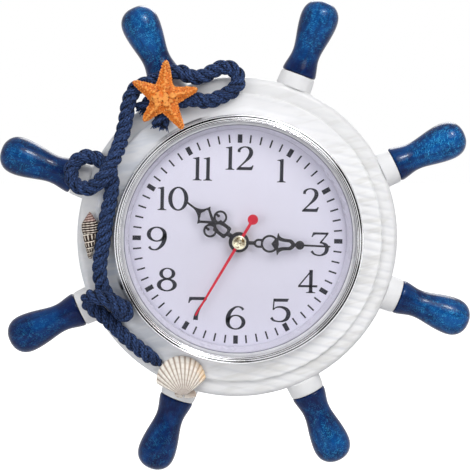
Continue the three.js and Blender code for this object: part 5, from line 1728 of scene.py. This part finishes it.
class CLOCK_OT_rope(bpy.types.Operator):
    """Lays the rope's three strands along its route, with its cut ends and its short tail"""

    bl_idname = "clock.rope"
    bl_label = "Rope"

    def execute(self, context):
        settings = context.scene.clock_rope
        for name, route, node, pinched, seed in (
            ("rope_laid", ROPE_ROUTE, "rope", True, 3), ("rope_tail_laid", TAIL_ROUTE, "rope_tail", False, 8),
        ):
            mesh, line, ahead = laid_rope(route, settings, pinched)
            fray(mesh, line[0], -ahead[0], settings.diameter * 500, seed)
            rope = from_points(name, mesh.points, mesh.faces, smooth=70)
            note(rope, "yarn", mesh.yarn)
            note(rope, "crown", mesh.crown)
            note(rope, "fibre", mesh.fibre, "FLOAT_VECTOR")
            face_outwards(rope)
            dress(rope, "rope_cotton", node)
        return {"FINISHED"}


# Starfish and shells

STAR_PLACE = (-41.4, 78.4)
STAR_BACK = 31.8
STAR_ANGLES = (74.8, 3.5, -61.6, -137.6, 148.5)
STAR_LENGTHS = (19.5, 21.3, 19.6, 17.1, 20.1)
# An arm's half width and height, by the share of its length
STAR_WIDTHS = (
    (0.0, 6.0), (0.22, 5.6), (0.38, 4.6), (0.52, 3.75), (0.7, 2.9), (0.82, 2.2), (0.93, 1.7), (1.0, 1.4),
)
STAR_RISES = ((0.0, 5.5), (0.35, 4.8), (0.7, 3.7), (0.9, 2.9), (1.0, 2.2))
STAR_STEPS = 240
STAR_RINGS = 22
STAR_EDGE = 1.1
STAR_MIDDLE = 5.6


def along_rows(rows, share):
    return float(np.interp(share, *zip(*rows)))


def star_arms():
    """The sine and cosine of each arm's angle, and its length."""
    for arm, reach in zip(STAR_ANGLES, STAR_LENGTHS):
        yield math.sin(math.radians(arm)), math.cos(math.radians(arm)), reach


def star_depth(x, z):
    """How deep inside the starfish a point lies, from 0 at the edge to 1 at a middle line, and its rise."""
    inside, rise = 0.0, 0.0
    for s, c, reach in star_arms():
        along, off = x * s + z * c, abs(x * c - z * s)
        share = max(0.0, along / reach)
        if along < -5 or share > 1:
            continue
        half = along_rows(STAR_WIDTHS, share)
        if share > 0.9:
            half *= math.sqrt(max(0.0, 1 - ((share - 0.9) / 0.1) ** 2))
        deep = 1 - off / max(half, 1e-6)
        if along < 0:
            deep = 1 - math.hypot(along, off) / STAR_MIDDLE
        if deep > inside:
            inside = deep
            rise = along_rows(STAR_RISES, share)
    return inside, rise


def star_outline():
    """The starfish's radius at each step round it, with its inner corners filled a little."""
    low, high = 2.0, 23.0
    radii = []
    for i in range(STAR_STEPS):
        a = FULL_TURN * i / STAR_STEPS
        tries = [low + (high - low) * k / 240 for k in range(240)]
        within = [r for r in tries if star_depth(r * math.sin(a), r * math.cos(a))[0] > 0]
        radii.append(max(within[-1] if within else 0.0, 4.0))
    blurred = [
        sum(radii[(i + k) % STAR_STEPS] * (7 - abs(k)) for k in range(-6, 7)) / 49 for i in range(STAR_STEPS)
    ]
    return [max(a, b) for a, b in zip(radii, blurred)]


def starfish_body():
    """A starfish drawn from its middle out to its edge and remeshed finely."""
    radii = star_outline()
    points, faces = [], []
    for ring in range(1, STAR_RINGS + 1):
        for i, radius in enumerate(radii):
            a, r = FULL_TURN * i / STAR_STEPS, radius * ring / STAR_RINGS
            x, z = r * math.sin(a), r * math.cos(a)
            inside, rise = star_depth(x, z)
            dome = (1 - (1 - inside) ** 1.5) ** 0.85 if inside > 0 else 0.0
            points.append((x, -(STAR_EDGE + (rise - STAR_EDGE) * dome), z))
    under = len(points)
    points += [(x * 0.97, 0.0, z * 0.97) for x, _, z in points]
    top, bottom = len(points), len(points) + 1
    points += [(0, -STAR_MIDDLE, 0), (0, 0, 0)]
    for i in range(STAR_STEPS):
        j = (i + 1) % STAR_STEPS
        for ring in range(STAR_RINGS - 1):
            a, b = ring * STAR_STEPS + i, ring * STAR_STEPS + j
            faces.append((a, a + STAR_STEPS, b + STAR_STEPS, b))
            faces.append((under + a, under + b, under + b + STAR_STEPS, under + a + STAR_STEPS))
        faces.append((top, i, j))
        faces.append((bottom, under + j, under + i))
        a, b = (STAR_RINGS - 1) * STAR_STEPS + i, (STAR_RINGS - 1) * STAR_STEPS + j
        faces.append((a, under + a, under + b, b))
    star = from_points("starfish_dried", points, faces)
    tidy_faces(star, 1e-6)
    modify(star, "REMESH", mode="VOXEL", voxel_size=0.00028)
    modify(star, "SMOOTH", factor=0.5, iterations=8)
    return star


def arm_knobs(pick, s, c, reach, knobs, holes):
    """Places of the knobs along one arm's middle, along its edges and all over it, and of its holes."""
    spot = lambda along, off: (along * s + off * c, along * c - off * s)
    along = 4.0
    while along < reach - 0.9:
        size = pick.uniform(0.6, 1.1) * (1.15 - 0.5 * along / reach)
        knobs.append((*spot(along, pick.uniform(-0.6, 0.6)), size, pick.uniform(0.45, 0.85)))
        along += pick.uniform(0.9, 2.0)
    for side in (-1, 1):
        along = 4.5
        while along < reach - 1.2:
            half = along_rows(STAR_WIDTHS, along / reach)
            place = spot(along, side * half * pick.uniform(0.86, 1.0))
            knobs.append((*place, pick.uniform(0.4, 0.7), pick.uniform(0.5, 0.8)))
            place = spot(along + pick.uniform(-0.3, 0.3), side * half * pick.uniform(0.4, 0.62))
            holes.append((*place, pick.uniform(0.26, 0.46)))
            along += pick.uniform(1.0, 1.9)
    for _ in range(26):
        along = reach * pick.uniform(0.15, 0.97)
        half = along_rows(STAR_WIDTHS, along / reach)
        place = spot(along, half * pick.uniform(-0.9, 0.9))
        knobs.append((*place, pick.uniform(0.3, 0.62), pick.uniform(0.4, 0.8)))
        if pick.random() < 0.3:
            place = spot(along + 0.6, half * pick.uniform(-0.8, 0.8))
            holes.append((*place, pick.uniform(0.2, 0.4)))


def star_knobs():
    """Knobs as (x, z, size, height) and holes as (x, z, size)."""
    pick = random.Random(21)
    knobs, holes = [], []
    for s, c, reach in star_arms():
        arm_knobs(pick, s, c, reach, knobs, holes)
    for _ in range(17):
        a, r = pick.uniform(0, FULL_TURN), STAR_MIDDLE * math.sqrt(pick.uniform(0, 1))
        knobs.append((r * math.sin(a), r * math.cos(a), pick.uniform(1.0, 1.9), pick.uniform(0.65, 0.95)))
        holes.append(((r + 1.1) * math.sin(a + 0.3), (r + 1.1) * math.cos(a + 0.3), pick.uniform(0.35, 0.6)))
    return knobs, holes


def roughen_star(star):
    """Raises knobs along the arms and all over the skin, with notes of them for their painted highlight and
    of the holes for their painted shade.
    """
    places, normals = places_of(star), normals_of(star)
    knobs, holes = star_knobs()
    raised, tone, sunk = np.zeros((3, len(places)))
    up = np.clip(-normals[:, 1] * 1.6 + 0.25, 0, 1)
    for x, z, size, height in knobs:
        apart = np.hypot(places[:, 0] - x, places[:, 2] - z) / size
        dome = np.sqrt(np.clip(1 - apart ** 2, 0, 1))
        raised = np.maximum(raised, dome * size * height)
        tone = np.maximum(tone, dome)
    for x, z, size in holes:
        apart = np.hypot(places[:, 0] - x, places[:, 2] - z) / size
        sunk = np.maximum(sunk, np.clip(1.35 - apart, 0, 1))
    rough = noise_at(places, 0.8, 5.0) * 0.26 + noise_at(places, 2.0, 6.0) * 0.14
    middle = np.clip(1 - np.hypot(places[:, 0], places[:, 2]) / 6.5, 0, 1)
    rough += noise_at(places, 0.45, 8.0) * 0.9 * middle * up
    moved = places + normals * (raised * up + rough - 0.1 - 0.45 * sunk * up)[:, None]
    moved[:, 1] = np.clip(moved[:, 1], -6.0, 0.0)
    set_places(star, moved)
    note(star, "knob", tone * up)
    note(star, "hole", sunk * up)


class CLOCK_OT_starfish(bpy.types.Operator):
    """Models the dried starfish that lies on the rope"""

    bl_idname = "clock.starfish"
    bl_label = "Starfish"

    def execute(self, context):
        star = starfish_body()
        roughen_star(star)
        shift_piece(star, (STAR_PLACE[0], -STAR_BACK, STAR_PLACE[1]))
        smooth_shade(star, 80)
        dress(star, "starfish_skin", "starfish")
        return {"FINISHED"}


SCALLOP_HINGE = (-30.84, -88.17)
SCALLOP_BACK = 22.8
SCALLOP_RIBS = 14
SCALLOP_COLUMNS = SCALLOP_RIBS * 12
SCALLOP_ROWS = 46
# Outlines of the ears from the hinge
SCALLOP_EARS = (
    [(0.4, -1.0), (4.5, -1.3), (6.8, -0.4), (7.1, 1.2), (5.4, 3.2), (2.0, 2.6)],
    [(-0.4, -1.0), (-1.8, 2.4), (-4.2, 3.0), (-5.0, 1.2), (-3.8, -0.7)],
)


def scallop_skin(inner):
    """Points of one skin of the scallop, with notes of its grooves, growth and tint."""
    points, grooves, growth, tints = [], [], [], []
    for row in range(SCALLOP_ROWS + 1):
        share = row / SCALLOP_ROWS
        for column in range(SCALLOP_COLUMNS + 1):
            across = 2 * column / SCALLOP_COLUMNS - 1
            fan = math.radians(56 * across)
            side = 10 * math.sin(fan)
            reach = 10 * math.cos(fan) + math.sqrt(13.2 ** 2 - side ** 2)
            rib_at = SCALLOP_RIBS * (column / SCALLOP_COLUMNS)
            rib = (math.cos(FULL_TURN * (rib_at - 0.5)) * 0.5 + 0.5) ** 0.5
            edge = 0.35 * (rib - 0.5) * share ** 4
            distance = 1.0 + (reach - 1.0 + edge) * share
            crown = max(math.sin(math.pi * (0.12 + 0.88 * share)) * math.cos(fan * 0.9), 0.0)
            if inner:
                rise = 6.6 * crown + 0.25 + 0.35 * rib * share
            else:
                step = 0.12 * math.sin(share * 40 + 1.5 * math.sin(across * 3)) * share
                rise = 6.6 * crown + (1.15 + (0.72 * rib + step * 0.5) * min(1.0, 0.15 + share))
            direction = fan + math.radians(-4.3)
            tilt = max(0.0, min(1.0, (-across - 0.1) / 0.6))
            rise += 2.6 * share ** 2 * tilt ** 2 * (3 - 2 * tilt)
            points.append((
                SCALLOP_HINGE[0] - 0.7 * share + 1.04 * distance * math.sin(direction),
                -(SCALLOP_BACK + rise),
                SCALLOP_HINGE[1] + (distance - 0.6 * share) * math.cos(direction),
            ))
            grooves.append(1 - rib)
            growth.append(share + 0.01 * math.sin(across * 9))
            tints.append(max(0.0, min(1.0, (across - 0.1) * 1.4)) * max(0.0, share - 0.35) * 1.3)
    return points, grooves, growth, tints


def scallop_fan():
    """The shell's fan, from an outer and an inner skin joined round their rim."""
    outer, inner = scallop_skin(False), scallop_skin(True)
    width, layer = SCALLOP_COLUMNS + 1, (SCALLOP_COLUMNS + 1) * (SCALLOP_ROWS + 1)
    faces = []
    for row in range(SCALLOP_ROWS):
        for column in range(SCALLOP_COLUMNS):
            a = row * width + column
            faces.append((a, a + 1, a + 1 + width, a + width))
            faces.append((layer + a, layer + a + width, layer + a + 1 + width, layer + a + 1))
    last = SCALLOP_ROWS * width
    rim = (
        [(row * width, (row + 1) * width) for row in range(SCALLOP_ROWS)]
        + [((row + 1) * width + width - 1, row * width + width - 1) for row in range(SCALLOP_ROWS)]
        + [(column + 1, column) for column in range(SCALLOP_COLUMNS)]
        + [(last + column, last + column + 1) for column in range(SCALLOP_COLUMNS)]
    )
    faces += [(a, b, layer + b, layer + a) for a, b in rim]
    fan = from_points("scallop_shell_ribbed", outer[0] + inner[0], faces)
    for name, at in (("groove", 1), ("growth", 2), ("tint", 3)):
        note(fan, name, outer[at] + inner[at])
    face_outwards(fan)
    return fan


def scallop_ear(corners):
    outline = curved([(SCALLOP_HINGE[0] + x, SCALLOP_HINGE[1] + z) for x, z in corners], 5, closed=True)
    ear = plate_piece("ear", [outline], SCALLOP_BACK + 0.1, 1.3, 0.3)
    places = places_of(ear)
    reach = np.hypot(places[:, 0] - SCALLOP_HINGE[0], places[:, 2] - SCALLOP_HINGE[1])
    note(ear, "groove", 0.5 + 0.5 * np.sin(reach * 4.0))
    note(ear, "growth", 0.5 + reach * 0.02)
    note(ear, "tint", np.zeros(len(places)))
    return ear


class CLOCK_OT_scallop(bpy.types.Operator):
    """Models the ribbed scallop shell over the rope's end"""

    bl_idname = "clock.scallop"
    bl_label = "Scallop shell"

    def execute(self, context):
        fan = scallop_fan()
        shell = join("scallop_shell_ribbed", [fan, *(scallop_ear(corners) for corners in SCALLOP_EARS)])
        smooth_shade(shell, 60)
        dress(shell, "scallop_finish", "scallop_shell", slot="scallop")
        return {"FINISHED"}


SPIRAL_PLACE = (-82.6, 24.7)
SPIRAL_SIDES = 112
SPIRAL_STEPS = 210
# Height over the shell's foot in millimetres, its girth and the number of whorls passed
SPIRAL_ROWS = [
    (0.0, 0.5, 0.0), (1.2, 1.0, 0.5), (2.4, 1.4, 1.0), (5.0, 1.95, 2.0), (7.9, 2.75, 3.0), (11.6, 3.5, 4.0),
    (14.0, 4.0, 4.5), (16.3, 4.4, 5.0), (18.0, 4.6, 5.6), (19.8, 4.6, 6.2), (21.2, 4.0, 6.6),
    (22.8, 3.05, 7.0), (24.5, 1.95, 7.4), (26.0, 0.95, 7.8), (26.8, 0.3, 8.0),
]


def spiral_point(height, girth, whorl, i):
    """A point on the spiral shell, how beaded it is, and whether it lies on the plain cone at the top."""
    upper = min(1.0, max(0.0, (height - 14.0) / 1.5))
    cone = min(1.0, max(0.0, (height - 21.4) / 1.2))
    angle = FULL_TURN * i / SPIRAL_SIDES
    within = (whorl - i / SPIRAL_SIDES) % 1.0
    belly = max(0.0, math.sin(math.pi * within)) ** 0.5
    rib = 0.5 + 0.5 * math.cos(11 * angle + 2.2 * within)
    cords = 0.5 + 0.5 * math.cos(FULL_TURN * (height / 1.35 - 2 * i / SPIRAL_SIDES))
    relief = 0.75 * belly * (0.4 + 0.6 * rib) * (1 - upper) + 0.34 * cords * upper * (1 - cone)
    radius = min(girth * (0.84 + 0.13 * min(1.0, upper + cone)) + relief * min(1.0, girth / 3.2), 4.75)
    x, y = SPIRAL_PLACE[0] + radius * math.cos(angle), -SPIRAL_PLACE[1] + radius * math.sin(angle)
    low = 0.75 * rib ** 1.2 * belly + (0.8 if within > 0.84 else 0.0)
    high = cords ** 1.5 * (0.6 + 0.4 * rib)
    return (x, y, height - 11.3), low * (1 - upper) + high * upper, cone


class CLOCK_OT_spiral_shell(bpy.types.Operator):
    """Models the beaded spiral shell on the rim's step"""

    bl_idname = "clock.spiral_shell"
    bl_label = "Spiral shell"

    def execute(self, context):
        heights, girths, whorls = zip(*SPIRAL_ROWS)
        made = []
        for row in range(SPIRAL_STEPS + 1):
            height = 0.9 + 25.9 * row / SPIRAL_STEPS
            girth, whorl = (float(np.interp(height, heights, column)) for column in (girths, whorls))
            made += [spiral_point(height, girth, whorl, i) for i in range(SPIRAL_SIDES)]
        points, beads, blush = zip(*made)
        faces = tube_faces(0, SPIRAL_STEPS, SPIRAL_SIDES)
        last = SPIRAL_STEPS * SPIRAL_SIDES
        faces += [tuple(reversed(range(SPIRAL_SIDES))), tuple(last + i for i in range(SPIRAL_SIDES))]
        shell = from_points("spiral_shell_beaded", points, faces)
        note(shell, "bead", beads)
        note(shell, "blush", blush)
        face_outwards(shell)
        smooth_shade(shell, 70)
        dress(shell, "spiral_finish", "spiral_shell", slot="spiral")
        return {"FINISHED"}


# Stage

# Width in pixels of the picture that the camera's shift was measured in, and the shift to the right and up
PICTURE_PIXELS = 470
PICTURE_SHIFT = (2.3, 1.9)


def look(settings):
    """The camera at the photograph's angle."""
    a, e = settings.azimuth, settings.elevation
    back = Vector((math.sin(a) * math.cos(e), -math.cos(a) * math.cos(e), math.sin(e)))
    turned = (-back).to_track_quat("-Z", "Y")
    right, up = turned @ Vector((1, 0, 0)), turned @ Vector((0, 1, 0))
    data = bpy.data.cameras.new("camera")
    data.sensor_width = 36.0
    data.angle = settings.field
    camera = bpy.data.objects.new("camera", data)
    camera.rotation_mode = "QUATERNION"
    camera.rotation_quaternion = turned
    pixel = 2 * settings.distance * math.tan(settings.field / 2) / PICTURE_PIXELS
    centre = Vector((0, -0.0105, 0)) + back * settings.distance
    camera.location = centre - right * PICTURE_SHIFT[0] * pixel + up * PICTURE_SHIFT[1] * pixel
    bpy.context.scene.collection.objects.link(camera)
    bpy.context.scene.camera = camera


def lamp(name, place, size, power, mirrored=True, lights=True):
    """A round lamp that points at the clock's middle."""
    data = bpy.data.lights.new(name, "AREA")
    data.shape = "DISK"
    data.size = size
    data.energy = power
    made = bpy.data.objects.new(name, data)
    made.visible_glossy = mirrored
    made.visible_diffuse = lights
    made.location = place
    made.rotation_mode = "QUATERNION"
    made.rotation_quaternion = (-Vector(place)).to_track_quat("-Z", "Y")
    bpy.context.scene.collection.objects.link(made)


def floor_paint():
    """A pale floor that looks white to the camera and in gloss, and keeps the shadow."""
    material = bpy.data.materials.new("floor_pale")
    material.use_nodes = True
    nodes = Nodes(material.node_tree)
    rays = nodes.node("LightPath").outputs
    seen = nodes.math("MAXIMUM", rays["Is Camera Ray"], rays["Is Glossy Ray"])
    clear = nodes.math("MAXIMUM", seen, rays["Is Transmission Ray"])
    reach = nodes.math("LENGTH", nodes.node("TexCoord").outputs["Object"], kind="VectorMath")
    nodes.fill(material.node_tree.nodes["Principled BSDF"], {
        "Base Color": (0.56, 0.56, 0.57), "Roughness": 0.9, "Emission Color": (1.0, 1.0, 1.0),
        "Emission Strength": nodes.times(clear, nodes.span(reach, 0.45, 1.3, 0.56, 0.9)),
    })
    return material


def pale_world():
    """White behind the object, a dimmer room in front of it in gloss, and even light for all else."""
    world = bpy.data.worlds.new("pale")
    bpy.context.scene.world = world
    world.use_nodes = True
    nodes = Nodes(world.node_tree)
    rays = nodes.node("LightPath").outputs
    room = nodes.span(nodes.part(nodes.node("TexCoord").outputs["Generated"], "Y"), -0.9, -0.3, 0.32, 1.0)
    gloss = nodes.blend(rays["Is Glossy Ray"], 0.42, room)
    clear = nodes.math("MAXIMUM", rays["Is Camera Ray"], rays["Is Transmission Ray"])
    nodes.fill(world.node_tree.nodes["Background"], {
        "Color": (1.0, 1.0, 1.0), "Strength": nodes.blend(clear, gloss, 1.0),
    })

class CLOCK_OT_stage(bpy.types.Operator):
    """Sets the camera, the lamps, the floor and the background"""

    bl_idname = "clock.stage"
    bl_label = "Stage"

    def execute(self, context):
        settings = context.scene.clock_stage
        look(settings)
        clear_selection()
        bpy.ops.mesh.primitive_circle_add(
            vertices=96, radius=6.0, fill_type="NGON", location=(0, 0, -settings.floor_drop)
        )
        floor = context.object
        floor.name = "floor"
        settle(floor)
        floor.data.materials.append(floor_paint())
        pale_world()
        lamp("key", (0.45, -0.85, 0.8), 0.9, 9.15)
        lamp("glint", (0.45, -0.8, 0.85), 0.27, 9.0, lights=False)
        lamp("fill", (-0.9, -1.2, 0.1), 0.9, 6.5, mirrored=False)
        lamp("back", (0.3, 1.2, 0.9), 0.9, 12.0)
        context.scene.view_settings.view_transform = "Standard"
        return {"FINISHED"}


PIECE_OPERATORS = (
    CLOCK_OT_rim, CLOCK_OT_handles, CLOCK_OT_hanger, CLOCK_OT_bezel, CLOCK_OT_lens, CLOCK_OT_dial,
    CLOCK_OT_hands, CLOCK_OT_movement, CLOCK_OT_cell, CLOCK_OT_rope, CLOCK_OT_starfish, CLOCK_OT_scallop,
    CLOCK_OT_spiral_shell, CLOCK_OT_stage,
)


class CLOCK_PT_sidebar(bpy.types.Panel):
    """Lists the clock's pieces and their sizes and colours"""

    bl_idname = "CLOCK_PT_sidebar"
    bl_label = "Ship wheel clock"
    bl_space_type = "VIEW_3D"
    bl_region_type = "UI"
    bl_category = "Clock"

    def draw(self, context):
        for operator in PIECE_OPERATORS:
            self.layout.operator(operator.bl_idname)
        for name, _ in SETTINGS:
            box = self.layout.box()
            group = getattr(context.scene, name)
            for key in group.bl_rna.properties.keys():
                if key not in ("rna_type", "name"):
                    box.prop(group, key)


SETTINGS = (
    ("clock_wheel", WheelSettings), ("clock_dial", DialSettings), ("clock_hands", HandSettings),
    ("clock_rope", RopeSettings), ("clock_trimmings", TrimmingSettings), ("clock_stage", StageSettings),
)


def register():
    for name, group in SETTINGS:
        bpy.utils.register_class(group)
        setattr(bpy.types.Scene, name, bpy.props.PointerProperty(type=group))
    for operator in PIECE_OPERATORS:
        bpy.utils.register_class(operator)
    bpy.utils.register_class(CLOCK_PT_sidebar)


def unregister():
    bpy.utils.unregister_class(CLOCK_PT_sidebar)
    for operator in reversed(PIECE_OPERATORS):
        bpy.utils.unregister_class(operator)
    for name, group in reversed(SETTINGS):
        delattr(bpy.types.Scene, name)
        bpy.utils.unregister_class(group)


def main():
    register()
    bpy.ops.clock.rim()
    bpy.ops.clock.handles()
    bpy.ops.clock.hanger()
    bpy.ops.clock.bezel()
    bpy.ops.clock.lens()
    bpy.ops.clock.dial()
    bpy.ops.clock.hands()
    bpy.ops.clock.movement()
    bpy.ops.clock.cell()
    bpy.ops.clock.rope()
    bpy.ops.clock.starfish()
    bpy.ops.clock.scallop()
    bpy.ops.clock.spiral_shell()
    bpy.ops.clock.stage()


if __name__ == "__main__":
    main()
